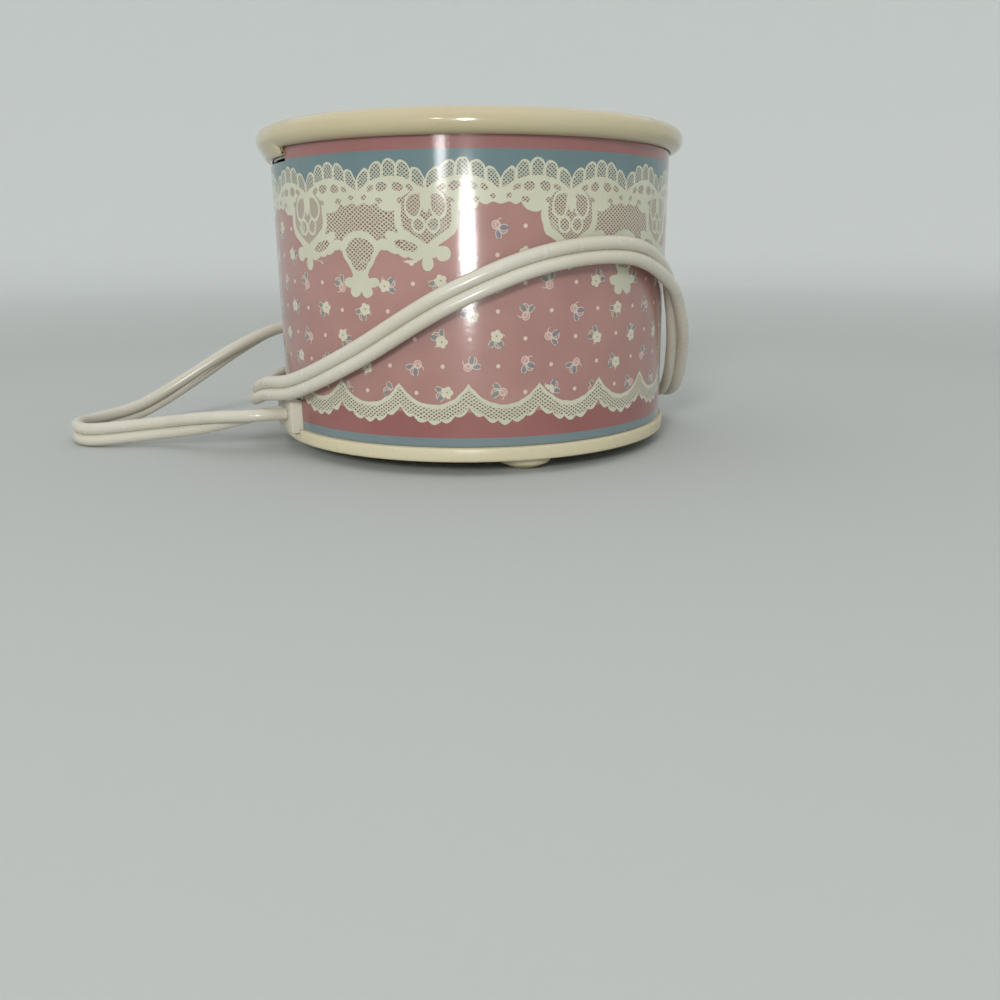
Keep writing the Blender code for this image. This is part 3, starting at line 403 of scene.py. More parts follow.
# draws a section along points, each with its own turn, and closes both ends
def swept(outline, places, turns):
    bm = bmesh.new()
    ring = bmesh.ops.create_circle(bm, segments=len(outline), radius=1)["verts"]
    for vert, spot in zip(ring, outline):
        vert.co = places[0] + turns[0] @ Vector((spot.x, spot.y, 0)) * mm
    edges = list(bm.edges)
    bm.faces.new(ring)
    for place, turn in zip(places[1:], turns[1:]):
        grown = bmesh.ops.extrude_edge_only(bm, edges=edges)["geom"]
        edges = [e for e in grown if isinstance(e, bmesh.types.BMEdge)]
        ring = [v for v in grown if isinstance(v, bmesh.types.BMVert)]
        for vert, spot in zip(ring, outline):
            vert.co = place + turn @ Vector((spot.x, spot.y, 0)) * mm
    bm.faces.new(ring)
    bmesh.ops.recalc_face_normals(bm, faces=bm.faces)
    return bm


# plug
plug = {
    "ribs": 6,
    "ribShape": ((0.0, 0.0), (0.15, 0.5), (0.5, 0.6), (0.65, 0.1)),
    "neckLength": 8.4,
    "neckWall": 1.4,
    "neckTaper": 12,
    "lip": 0.4,
    "lipDepth": 0.3,
    "firstRib": 0.5,
    "shoulderAt": 1.5,
    "shoulderRun": 0.9,
    "shoulderSteps": 10,
    "shoulderStart": (0.76, 0.82),
    "nose": ((0.8, 0.0), (0.24, 0.24), (0.0, 0.8)),
    "sides": 48,
}


# a rounded oblong of points, half sizes in millimetres
def oblong(halfWide, halfTall, count, square=3.2):
    points = []
    for k in range(count):
        angle = 2 * math.pi * k / count
        across, up = math.cos(angle), math.sin(angle)
        reach = (abs(across) ** square + abs(up) ** square) ** (-1 / square)
        points.append(Vector((across * reach * halfWide, up * reach * halfTall)))
    return points


def makePlug():
    low, high = (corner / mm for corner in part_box("plug_body"))
    middle = (low + high) / 2
    wide, tall = (high.y - low.y) / 2, (high.z - low.z) / 2
    rear, front = high.x, low.x
    neck = (cord["width"] / 2 + plug["neckWall"], cord["thickness"] / 2 + plug["neckWall"])
    lip = plug["lip"]
    sections = [(rear, neck[0] - lip, neck[1] - lip), (rear - plug["lipDepth"], *neck)]
    pitch = plug["neckLength"] / plug["ribs"]
    for k in range(plug["ribs"]):
        at = rear - plug["firstRib"] - k * pitch
        grow = (k + 0.5) * pitch / plug["neckTaper"]
        for share, rib in plug["ribShape"]:
            sections.append((at - share * pitch, neck[0] + grow + rib, neck[1] + grow + rib))
    shoulder = rear - plug["neckLength"] * plug["shoulderAt"]
    narrow, flat = plug["shoulderStart"]
    for k in range(plug["shoulderSteps"] + 1):
        share = k / plug["shoulderSteps"]
        swell = math.sin(share * math.pi / 2)
        sections.append((
            shoulder - share * plug["neckLength"] * plug["shoulderRun"],
            wide * (narrow + (1 - narrow) * swell),
            tall * (flat + (1 - flat) * swell),
        ))
    for inset, drop in plug["nose"]:
        sections.append((front + inset, wide - drop, tall - drop))
    bm = bmesh.new()
    ring = bmesh.ops.create_circle(bm, segments=plug["sides"], radius=1)["verts"]
    edges = list(bm.edges)
    bm.faces.new(ring)
    for i, (x, halfWide, halfTall) in enumerate(sections):
        if i:
            grown = bmesh.ops.extrude_edge_only(bm, edges=edges)["geom"]
            edges = [e for e in grown if isinstance(e, bmesh.types.BMEdge)]
            ring = [v for v in grown if isinstance(v, bmesh.types.BMVert)]
        for vert, spot in zip(ring, oblong(halfWide, halfTall, plug["sides"])):
            vert.co = Vector((x, middle.y + spot.x, middle.z + spot.y)) * mm
    bm.faces.new(ring)
    bmesh.ops.recalc_face_normals(bm, faces=bm.faces)
    thing = newPiece("moulded_plug", bm, [vinyl], "housing", 40)
    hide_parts("plug_body")
    return thing


def makeCord(plugBody):
    places = [Vector((x * mm, y * mm, z * mm, lean)) for x, y, z, lean in cord["route"]]
    line = through(places, cord["stations"], cord["fineSteps"])
    path = [p.to_3d() for p in line]
    ways = [(b - a).normalized() for a, b in zip([path[0], *path[:-1]], [*path[1:], path[-1]])]
    turns = [stand(way, p.w) for way, p in zip(ways, line)]
    bm = swept(twinOutline(), path, turns)
    thing = newPiece("twin_lead", bm, [vinyl], "housing", 50)
    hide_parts("power_cord")


vinyl = plainFinish("lead vinyl", cord)
makeCord(makePlug())
print("lead laid, with its plug")


# printed band: every length below is in millimetres, round the band or down from the print's top
band = {
    "radius": 61.0,
    "wall": 0.6,
    "steps": 240,
    "printTop": 87.6,
    "zoneEnds": (5.4, 19.5, 41.5, 61.0),
    "seamAzimuth": -82.0,
    "seamHalf": 0.175,
    "seamAngle": 0.15,
    "lugAzimuth": -72.0,
    "lugHalfAngle": 14.7,
    "lugFloor": 83.4,
    "blockAzimuth": -66.0,
    "blockHalf": 9.2,
    "blockTop": 17.1,
}
lace = {
    "axis": -29.0,
    "repeats": 5,
    "cream": ((205, 204, 182), (198, 197, 174)),
    "loop": 0.5,
    "loopTop": 5.9,
    "loopArc": 0.041,
    "loopJoin": 0.12,
    "creamTop": 9.9,
    "creamArc": 0.0381,
    "creamLow": 16.6,
    "ripple": 0.3,
    "pierced": (
        (2.2, 12.5, 1.5, 1.1, 10), (5.4, 12.8, 1.1, 0.7, 30),
        (3.2, 15.8, 1.1, 0.7, -10), (7.5, 14.9, 0.8, 0.6, 20),
    ),
    "knots": ((9.4, 16.0, 3.6, 2.5), (29.2, 16.2, 3.7, 2.5)),
    "netHalf": 11.5,
    "netTop": 16.0,
    "loopNet": (1.1, 0.93, 0.1),
    "fieldNet": (1.36, 1.05, 0.125),
    "waver": 0.3,
    "waverScale": 0.35,
    "blueEnd": 12.0,
    "shade": (80, 60, 54),
    "netShade": 0.5,
}
# the lower lace: its swags, their loops and the cloth's edge above
swag = {
    "shift": 0.8,
    "net": (1.45, 1.0, 0.18),
    "shade": 0.68,
    "low": 73.4,
    "lowArc": 0.0425,
    "loopArc": 0.3,
    "loopSlope": 0.9,
    "loopBorder": 0.6,
    "lowBorder": 1.1,
    "cusp": 67.9,
    "cuspDrop": 5.6,
    "cuspCurve": 2.3,
    "edgeBorder": 1.15,
    "bareLow": 67.3,
    "bareArc": 0.0308,
}
# ellipses of the pendants' zone: x from the axis, down, half width, half height, turn
pendantShapes = {
    "solid": (
        (23.4, 28.9, 2.0, 1.9, 0), (19.3, 31.3, 1.5, 1.9, 0), (19.7, 28.0, 3.2, 2.1, 0),
        (16.2, 28.6, 2.5, 1.9, 15), (13.2, 28.0, 2.2, 1.7, 10), (10.4, 27.4, 2.2, 1.5, 12),
        (7.6, 26.6, 2.4, 1.4, 10), (9.8, 24.6, 1.9, 1.3, 25), (13.6, 25.3, 3.2, 1.4, 18),
        (3.7, 36.2, 1.95, 1.3, 0), (1.9, 38.5, 1.7, 1.6, 0), (0.0, 36.0, 3.0, 2.7, 0),
    ),
    "arch": (0.0, 28.4, 6.5, 5.4, 0),
    "shield": (0.0, 29.0, 4.9, 4.1, 0),
    "patch": (13.6, 26.9, 3.3, 1.25, 16),
    "archLow": 28.2,
    "shieldTop": 27.5,
    "shieldLow": 35.5,
    "slope": 0.62,
    "outerHalf": 23.5,
    "innerHalf": 22.1,
    "net": (12.0, 25.0),
    "bare": (20.5, 30.5),
}
heart = {
    "lobe": (3.2, 17.6, 3.3, 4.0, 0),
    "body": (0.0, 19.4, 6.6, 7.0, 0),
    "top": 17.6,
    "low": 26.5,
    "slope": 1.55,
    "border": 1.9,
    "thread": 0.28,
    "cleft": (0.0, 15.2, 1.2, 3.6, 0),
    "rings": ((3.2, 17.0, 2.1, 3.1, -8), (1.9, 21.8, 1.6, 1.9, 12)),
}
stripes = {
    "rose": ((147, 96, 94), (153, 103, 99)),
    "lowRose": ((146, 92, 89), (152, 98, 94)),
    "blue": ((99, 121, 125), (104, 126, 130)),
    # the lower blue stripe's tint is partly its print colour and partly painted light: it is lighter than
    # the upper blue to lift the shade near the band's foot
    "lowBlueWithPaintedLight": ((113, 129, 133), (118, 134, 137)),
    "topRoseEnd": 3.8,
    "lowRoseStart": 70.0,
    "lowBlueStart": 77.0,
}
calico = {
    "field": ((167, 124, 117), (174, 132, 124)),
    "columns": 52,
    "rowPitch": 7.1,
    "firstDot": 13.84,
    "firstRow": 36.4,
    "dotRadius": 0.56,
    "dot": (216, 194, 182),
    "leaves": ((136, 137, 124), (130, 126, 136)),
    "outline": (204, 190, 178),
    "petal": (208, 203, 180),
    "heart": (158, 138, 116),
    "bud": (196, 155, 148),
    "budFold": (214, 196, 184),
    "jitter": 1.3,
    "flowerShare": 0.55,
    "reach": 2.6,
    "headDown": -0.8,
    "leafShapes": ((1.3, 0.85, 1.3, 0.78, 38), (-0.75, 1.3, 1.25, 0.72, -62)),
    "stemShape": (1.3, 0.3, 1.5, 1.9, 20),
    "lineHalf": 0.1,
    "petals": (0.98, 0.72),
    "eyeRadius": 0.24,
    "budShape": (0.1, -0.1, 1.15, 1.2),
    "curlShape": (0.35, 0.1, 0.55, 0.7, 25),
    "foldIn": 0.12,
    "foldHalf": 0.09,
}
embossing = {
    "pitch": 0.62,
    "driftScale": 60.0,
    "grainScale": 1.6,
    "gloss": (0.06, 0.13),
    "relief": 0.003,
}
girth = 2 * math.pi * band["radius"]
repeat = girth / lace["repeats"]
scallop = repeat / 4
laceAxis = math.radians(lace["axis"]) * band["radius"]


# one printed surface: its graph, and the places round (u) and down (d) the band
def printSurface(name):
    graph = Graph(name, {"IOR": 1.5, "Coat Weight": 0.3, "Coat Roughness": 0.25})
    sheet = graph.node("ShaderNodeUVMap", {"uv_map": "print"}, {})
    u = graph.part(sheet, "X")
    d = graph.part(sheet, "Y")
    drift = graph.drift(graph.objectPlace(), embossing["driftScale"])
    turn = 2 * math.pi / embossing["pitch"]
    weave = graph.maths("SINE", (u + d) * turn) * graph.maths("SINE", (u - d) * turn)
    grain = graph.noise(sheet, embossing["grainScale"], 2.0, 0.6)
    graph.bump(weave * 0.5 + grain * 2.5, embossing["relief"] * mm)
    graph.roughness(graph.spread(grain, 0.3, 0.7, *embossing["gloss"]))
    return graph, u, d, drift


# the sheet's places moved a little to and fro, so that drawn thread is never ruled
def wavering(graph):
    sheet = graph.node("ShaderNodeUVMap", {"uv_map": "print"}, {})
    sockets = {"Vector": sheet, "Scale": lace["waverScale"], "Detail": 1.0}
    sway = graph.node("ShaderNodeTexNoise", {"noise_dimensions": "2D"}, sockets, "Color")
    centred = graph.vector("SUBTRACT", sway, (0.5, 0.5, 0))
    reach = (lace["waver"] * 2, lace["waver"] * 2, 0)
    moved = graph.vector("MULTIPLY_ADD", centred, reach, sheet)
    return graph.part(moved, "X"), graph.part(moved, "Y")


def threads(graph, u, d, net):
    across, down, thread = net
    size = 1 / math.hypot(1 / across, 1 / down)
    one = graph.fold(u * (1 / across) + d * (1 / down), 0.5)
    two = graph.fold(u * (1 / across) - d * (1 / down), 0.5)
    return graph.inside(graph.least(one, two) * size - thread, 0.16)


# a flower of five round petals, one of them up: distance from its edge
def fivePetals(graph, spot, reach, petal):
    x = graph.part(spot, "X")
    y = graph.part(spot, "Y")
    angle = graph.fold(graph.maths("ARCTAN2", x, y) + math.pi, math.pi / 5)
    far = graph.length(spot)
    across = graph.maths("COSINE", angle) * far - reach
    beside = graph.maths("SINE", angle) * far
    return graph.length(graph.point(across, beside)) - petal


# dots and sprigs by turns in a checkerboard; nothing is sown where bare is 1
def calicoPrint(graph, u, d, drift, bare):
    across = (u - calico["firstDot"]) * (calico["columns"] / girth)
    down = (d - calico["firstRow"]) * (1 / calico["rowPitch"])
    column = graph.maths("ROUND", across)
    row = graph.maths("ROUND", down)
    odd = graph.fold(column + row, 1.0)
    seed = graph.point(column, row)
    chance = graph.node("ShaderNodeTexWhiteNoise", {"noise_dimensions": "2D"}, {"Vector": seed}, 1)
    luck = graph.part(chance, "Z")
    aside = (across - column) * (girth / calico["columns"])
    below = (down - row) * calico["rowPitch"]
    spot = graph.point(aside, below)
    dot = graph.inside(graph.length(spot) - calico["dotRadius"]) * (1 - odd)
    sown = odd if bare is None else odd * (1 - bare)
    shift = graph.vector("SUBTRACT", chance, (0.5, 0.5, 0.5))
    moved = graph.vector("MULTIPLY_ADD", shift, (calico["jitter"], calico["jitter"], 0), spot)
    flat = graph.vector("MULTIPLY", moved, (1, 1, 0))
    sockets = {"Vector": flat, "Angle": luck * (2 * math.pi * 3)}
    local = graph.node("ShaderNodeVectorRotate", {"rotation_type": "Z_AXIS"}, sockets)
    colour = graph.drifted(calico["field"], drift)
    colour = graph.mix(dot if bare is None else dot * (1 - bare), colour, tint(*calico["dot"]))
    leaves = graph.least(*(graph.ellipse(local, *shape) for shape in calico["leafShapes"]))
    stem = graph.ellipse(local, *calico["stemShape"])
    lines = graph.least(graph.maths("ABSOLUTE", stem), graph.maths("ABSOLUTE", leaves))
    nearby = graph.inside(graph.length(local) - calico["reach"])
    leaf = graph.drifted(calico["leaves"], graph.fold(luck * 7, 1.0))
    colour = graph.mix(graph.inside(leaves) * sown, colour, leaf)
    lineMask = graph.inside(lines - calico["lineHalf"]) * nearby * sown
    colour = graph.mix(lineMask, colour, tint(*calico["outline"]))
    kind = graph.maths("LESS_THAN", luck, calico["flowerShare"])
    head = graph.vector("SUBTRACT", local, (0, calico["headDown"], 0))
    flowerMask = graph.inside(fivePetals(graph, head, *calico["petals"])) * kind * sown
    colour = graph.mix(flowerMask, colour, tint(*calico["petal"]))
    eye = graph.inside(graph.length(head) - calico["eyeRadius"]) * flowerMask
    colour = graph.mix(eye, colour, tint(*calico["heart"]))
    bud = graph.ellipse(head, *calico["budShape"])
    budMask = graph.inside(bud) * (1 - kind) * sown
    colour = graph.mix(budMask, colour, tint(*calico["bud"]))
    curl = graph.maths("ABSOLUTE", graph.ellipse(head, *calico["curlShape"]))
    fold = graph.least(curl, graph.maths("ABSOLUTE", bud + calico["foldIn"])) - calico["foldHalf"]
    return graph.mix(graph.inside(fold) * budMask, colour, tint(*calico["budFold"]))


# how far round from the pendant's axis
def fromAxis(graph, u):
    return graph.fold(u - laceAxis, repeat / 2)


# how far round from a scallop's peak
def fromPeak(graph, u, shift=0.0):
    return graph.fold(u - (laceAxis + scallop / 2 + shift), scallop / 2)


# a heart with its lobes up and its net inside: the border's edge and the net's
def heartShapes(graph, x, d):
    aside = graph.maths("ABSOLUTE", x - scallop)
    spot = graph.point(aside, d)
    point = (aside + (d - heart["low"]) * heart["slope"]) * 0.54  # 0.54 makes it a distance
    body = graph.most(graph.ellipse(spot, *heart["body"]), point, heart["top"] - d)
    net = graph.least(graph.ellipse(spot, *heart["lobe"]), body)
    rings = graph.least(*(graph.maths("ABSOLUTE", graph.ellipse(spot, *ring)) for ring in heart["rings"]))
    hole = graph.most(net, heart["thread"] - rings, 0.0 - graph.ellipse(spot, *heart["cleft"]))
    return net - heart["border"], hole


# nets show what lies under them a little darker
def shaded(graph, colour, net, depth):
    return graph.mix(net * depth, colour, tint(*lace["shade"]))


def laid(graph, below, mask, drift):
    return graph.mix(mask, below, graph.drifted(lace["cream"], drift))


def topStripes():
    graph, _, d, drift = printSurface("band print, top stripes")
    rose = graph.drifted(stripes["rose"], drift)
    blue = graph.drifted(stripes["blue"], drift)
    graph.colour(graph.mix(graph.inside(d - stripes["topRoseEnd"]), blue, rose))
    return graph.material


# picot loops, the cream scallops with their pierced clusters, and the tops of the hearts
def scallopPrint():
    graph, u, d, drift = printSurface("band print, scallops")
    blue = graph.drifted(stripes["blue"], drift)
    field = graph.drifted(calico["field"], drift)
    colour = graph.mix(graph.inside(d - lace["blueEnd"]), field, blue)
    u, d = wavering(graph)
    x = fromAxis(graph, u)
    a = fromPeak(graph, u)
    q = graph.fold(a, scallop / 10)
    square = a * a
    top = square * lace["loopArc"] + (lace["loopTop"] + scallop / 10)
    reach = scallop / 10 + lace["loopJoin"]
    arch = graph.length(graph.point(q, graph.least(d - top, 0.0))) - reach
    cream = square * lace["creamArc"] + lace["creamTop"]
    thread = threads(graph, u, d, lace["loopNet"])
    hole = graph.inside(graph.most(arch + lace["loop"], d - cream))
    spot = graph.point(a, d)
    pierced = graph.least(*(graph.ellipse(spot, *place) for place in lace["pierced"]))
    border, heartHole = heartShapes(graph, x, d)
    hole = graph.most(hole, graph.inside(graph.least(pierced, heartHole)))
    spot = graph.point(x, d)
    ripple = graph.maths("COSINE", a * (10 * math.pi / scallop)) * lace["ripple"]
    knots = [graph.ellipse(spot, *place) for place in lace["knots"]]
    low = graph.least(d - lace["creamLow"] + ripple, border, *knots)
    solid = graph.inside(graph.most(arch, low)) * (1 - hole * (1 - thread))
    net = graph.inside(graph.most(x - lace["netHalf"], lace["netTop"] - d))
    veil = threads(graph, u, d, lace["fieldNet"]) * net
    colour = shaded(graph, colour, graph.most(hole, net), lace["netShade"])
    graph.colour(laid(graph, colour, graph.most(solid, veil), drift))
    return graph.material


# the hearts' points, the net between them, the pendant and its flower
def pendantPrint():
    graph, u, d, drift = printSurface("band print, pendants")
    x = fromAxis(graph, u)
    wide, low = pendantShapes["bare"]
    clear = graph.inside(graph.most(x - wide, d - low))
    colour = calicoPrint(graph, u, d, drift, clear)
    u, d = wavering(graph)
    x = fromAxis(graph, u)
    spot = graph.point(x, d)
    thread = threads(graph, u, d, lace["fieldNet"])
    fineThread = threads(graph, u, d, lace["loopNet"])
    border, heartHole = heartShapes(graph, x, d)
    wide, low = pendantShapes["net"]
    net = graph.inside(graph.most(x - wide, d - low))
    slant = x + d * pendantShapes["slope"]
    square = 1 / math.hypot(1, pendantShapes["slope"])
    outer = (slant - pendantShapes["outerHalf"]) * square
    shield = graph.most(outer, d - pendantShapes["shieldLow"], pendantShapes["shieldTop"] - d)
    arch = graph.most(graph.ellipse(spot, *pendantShapes["arch"]), d - pendantShapes["archLow"])
    solid = graph.least(border, shield, arch)
    for place in pendantShapes["solid"]:
        solid = graph.least(solid, graph.ellipse(spot, *place))
    hole = graph.ellipse(spot, *pendantShapes["shield"])
    hole = graph.most(hole, (slant - pendantShapes["innerHalf"]) * square)
    hole = graph.least(hole, graph.ellipse(spot, *pendantShapes["patch"]))
    hole = graph.inside(hole)
    heartHole = graph.inside(heartHole)
    pierced = graph.inside(solid) * (1 - hole * (1 - thread)) * (1 - heartHole * (1 - fineThread))
    mask = graph.most(pierced, net * thread)
    colour = shaded(graph, colour, graph.most(net, hole, heartHole), lace["netShade"])
    graph.colour(laid(graph, colour, mask, drift))
    return graph.material


def fieldPrint():
    graph, u, d, drift = printSurface("band print, field")
    graph.colour(calicoPrint(graph, u, d, drift, None))
    return graph.material


# the lower lace, hung in swags from its cusps, over the rose and blue stripes
def swagPrint():
    graph, u, d, drift = printSurface("band print, swags")
    cuspward = graph.maths("POWER", scallop / 2 - fromPeak(graph, u, swag["shift"]), swag["cuspCurve"])
    bare = graph.inside(cuspward * -swag["bareArc"] + swag["bareLow"] - d)
    colour = calicoPrint(graph, u, d, drift, bare)
    rose = graph.drifted(stripes["lowRose"], drift)
    # painted light: this lower blue is lighter than the upper blue to make up for the shade near the
    # band's foot
    blue = graph.drifted(stripes["lowBlueWithPaintedLight"], drift)
    colour = graph.mix(graph.inside(stripes["lowRoseStart"] - d), colour, rose)
    colour = graph.mix(graph.inside(stripes["lowBlueStart"] - d), colour, blue)
    u, d = wavering(graph)
    m = scallop / 2 - fromPeak(graph, u, swag["shift"])
    q = graph.fold(m, scallop / 10)
    low = d - swag["low"] + m * m * swag["lowArc"]
    loops = (low + q * q * swag["loopArc"]) * swag["loopSlope"]
    edge = swag["cusp"] - graph.maths("POWER", m * (2 / scallop), swag["cuspCurve"]) * swag["cuspDrop"]
    borders = (low + swag["lowBorder"], loops + swag["loopBorder"], edge + swag["edgeBorder"] - d)
    hole = graph.inside(graph.most(*borders))
    thread = threads(graph, u, d, swag["net"])
    mask = graph.inside(graph.most(loops, edge - d)) * (1 - hole * (1 - thread))
    graph.colour(laid(graph, shaded(graph, colour, hole, swag["shade"]), mask, drift))
    return graph.material


def cutAcross(bm, place, normal):
    geom = list(bm.verts) + list(bm.edges) + list(bm.faces)
    bmesh.ops.bisect_plane(bm, geom=geom, dist=1e-8, plane_co=place, plane_no=normal)


def azimuthOf(place):
    return math.degrees(math.atan2(place.x, -place.y))


# azimuth brought within half a turn of another one
def near(azimuth, other):
    return other + (azimuth - other + 180) % 360 - 180


# the slit of the seam, the lug's notch and the outlet block's
def inNotch(place):
    azimuth = azimuthOf(place)
    if abs(near(azimuth, band["seamAzimuth"]) - band["seamAzimuth"]) < band["seamAngle"]:
        return True
    fromLug = abs(near(azimuth, band["lugAzimuth"]) - band["lugAzimuth"])
    if fromLug < band["lugHalfAngle"] and place.z > band["lugFloor"] * mm:
        return True
    outward = polar(band["blockAzimuth"], 1, 0)
    along = polar(band["blockAzimuth"] + 90, 1, 0)
    beside = abs(place.dot(along)) < band["blockHalf"] * mm and place.dot(outward) > 0
    return beside and place.z < band["blockTop"] * mm


def makeBand():
    low, high = (corner.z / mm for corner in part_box("printed_band"))
    ends = [band["printTop"] - end for end in band["zoneEnds"]]
    levels = [low, *reversed(ends), high]
    line = [(band["radius"], level, 0) for level in levels]
    bm = spun(line, band["steps"], 360.0, band["seamAzimuth"], closed=False)
    for level in (band["lugFloor"], band["blockTop"]):
        cutAcross(bm, (0, 0, level * mm), (0, 0, 1))
    for side in (-1, 1):
        azimuth = band["lugAzimuth"] + side * band["lugHalfAngle"]
        cutAcross(bm, (0, 0, 0), polar(azimuth + 90, 1, 0))
        along = polar(band["blockAzimuth"] + 90, 1, 0)
        cutAcross(bm, along * side * band["blockHalf"] * mm, along)
        along = polar(band["seamAzimuth"] + 90, 1, 0)
        cutAcross(bm, along * side * band["seamHalf"] * mm, along)
    notched = [face for face in bm.faces if inNotch(face.calc_center_median())]
    bmesh.ops.delete(bm, geom=notched, context="FACES")
    shrink = 1 - band["wall"] / band["radius"]
    grown = bmesh.ops.extrude_face_region(bm, geom=list(bm.faces), use_keep_orig=True)["geom"]
    inner = [v for v in grown if isinstance(v, bmesh.types.BMVert)]
    bmesh.ops.scale(bm, vec=(shrink, shrink, 1), verts=inner)
    bmesh.ops.recalc_face_normals(bm, faces=bm.faces)
    prints = [topStripes(), scallopPrint(), pendantPrint(), fieldPrint(), swagPrint()]
    sheet = bm.loops.layers.uv.new("print")
    for face in bm.faces:
        middle = face.calc_center_median()
        outward = Vector((middle.x, middle.y, 0)).normalized()
        down = band["printTop"] - middle.z / mm
        face.material_index = sum(down > end for end in band["zoneEnds"])
        if face.normal.dot(outward) < 0.5:
            face.material_index = len(prints)
        centre = near(azimuthOf(middle), band["seamAzimuth"] + 180)
        for loop in face.loops:
            azimuth = near(azimuthOf(loop.vert.co), centre)
            across = math.radians(azimuth) * band["radius"]
            loop[sheet].uv = (across, band["printTop"] - loop.vert.co.z / mm)
    tinplate = plainFinish("bare tinplate", finishes["bare_tinplate"])
    thing = newPiece("printed_sleeve", bm, [*prints, tinplate], "housing", 30)
    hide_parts("printed_band")


# finishes of the pieces that keep their solid's shape
finishes = {
    "bare_tinplate": {
        "tints": ((172, 170, 164), (154, 152, 147)), "driftScale": 40.0, "grainScale": 500.0,
        "gloss": (0.3, 0.45), "relief": 0.01, "fixed": {"Metallic": 0.9},
    },
    "cream_plastic": {
        "tints": ((215, 205, 174), (209, 198, 165)), "driftScale": 25.0, "grainScale": 700.0,
        "gloss": (0.26, 0.36), "relief": 0.01, "fixed": {"IOR": 1.5},
    },
    "foot_plastic": {
        "tints": ((216, 204, 176), (205, 192, 160)), "driftScale": 90.0, "grainScale": 800.0,
        "gloss": (0.32, 0.45), "relief": 0.015, "fixed": {"IOR": 1.5},
    },
    "white_plastic": {
        "tints": ((218, 210, 193), (208, 200, 181)), "driftScale": 120.0, "grainScale": 800.0,
        "gloss": (0.32, 0.45), "relief": 0.015, "fixed": {"IOR": 1.5},
    },
    "well_aluminium": {
        "tints": ((196, 197, 196), (178, 179, 178)), "driftScale": 30.0, "grainScale": 300.0,
        "gloss": (0.28, 0.42), "relief": 0.01, "fixed": {"Metallic": 1.0},
    },
    "heater_sleeving": {
        "tints": ((200, 195, 178), (182, 176, 156)), "driftScale": 300.0, "grainScale": 1500.0,
        "gloss": (0.7, 0.85), "relief": 0.08, "fixed": {},
    },
    "foil": {
        "tints": ((214, 214, 213), (196, 196, 196)), "driftScale": 60.0, "grainScale": 160.0,
        "gloss": (0.18, 0.34), "relief": 0.3, "fixed": {"Metallic": 1.0},
    },
    "glass_wool": {
        "tints": ((212, 205, 176), (196, 187, 152)), "driftScale": 90.0, "grainScale": 900.0,
        "gloss": (0.85, 0.95), "relief": 0.2, "fixed": {},
    },
    "plated_steel": {
        "tints": ((188, 189, 188), (166, 167, 164)), "driftScale": 200.0, "grainScale": 900.0,
        "gloss": (0.25, 0.42), "relief": 0.01, "fixed": {"Metallic": 1.0},
    },
    "fuse_ceramic": {
        "tints": ((206, 199, 184), (194, 186, 168)), "driftScale": 200.0, "grainScale": 900.0,
        "gloss": (0.5, 0.65), "relief": 0.02, "fixed": {},
    },
    "lead_insulation": {
        "tints": ((222, 221, 214), (210, 208, 199)), "driftScale": 80.0, "grainScale": 900.0,
        "gloss": (0.45, 0.6), "relief": 0.01, "fixed": {},
    },
    "blade_brass": {
        "tints": ((206, 188, 142), (188, 170, 126)), "driftScale": 150.0, "grainScale": 900.0,
        "gloss": (0.22, 0.36), "relief": 0.01, "fixed": {"Metallic": 1.0},
    },
}
makeBand()
print("band printed and set")


# crock
crock = {
    "steps": 192,
    "radius": 53.0,
    "taper": 1.4,
    "wall": 5.0,
    "floor": 5.6,
    "outerCorner": 6.5,
    "innerCorner": 9.5,
    "draft": 1.0,
    "footRing": 6.0,
    "footRecess": 0.8,
    "seat": 88.4,
    "skirtInner": 61.4,
    "skirtDrop": 1.4,
    "roll": 3.15,
    "crownWidth": 5.6,
    "ledge": 3.8,
    "ledgeDrop": 4.2,
    "lugInner": 60.5,
    "lugOuter": 62.0,
    "lugDrop": 2.3,
    "lugHalfAngle": 14.25,
    "lugEdge": 1.0,
    "tints": ((195, 182, 147), (200, 189, 156)),
    "clay": (196, 186, 165),
    "driftScale": 14.0,
    "grainScale": 420.0,
    "gloss": (0.1, 0.17),
    "relief": 0.012,
    "fixed": {"IOR": 1.52, "Coat Weight": 0.5, "Coat Roughness": 0.06},
}


# almond glaze, a little browner where it runs thin, and bare clay on the foot ring
def glazeFinish(footHeight):
    graph = Graph("almond glaze", crock["fixed"])
    place = graph.objectPlace()
    grain = graph.noise(place, crock["grainScale"], 2.0, 0.6)
    wave = graph.noise(place, 70.0, 1.0)
    height = graph.part(place, "Z")
    bare = graph.inside(height - footHeight - grain * 0.0006, 0.0004)
    glazed = graph.drifted(crock["tints"], graph.drift(place, crock["driftScale"]))
    graph.colour(graph.mix(bare, glazed, tint(*crock["clay"])))
    shine = graph.spread(grain, 0.3, 0.7, *crock["gloss"])
    graph.roughness(graph.most(shine, bare * 0.8))
    graph.feed(graph.shader.inputs["Coat Weight"], (1 - bare) * crock["fixed"]["Coat Weight"])
    graph.bump(grain * 0.15 + wave * 1.6, crock["relief"] * mm)
    return graph.material


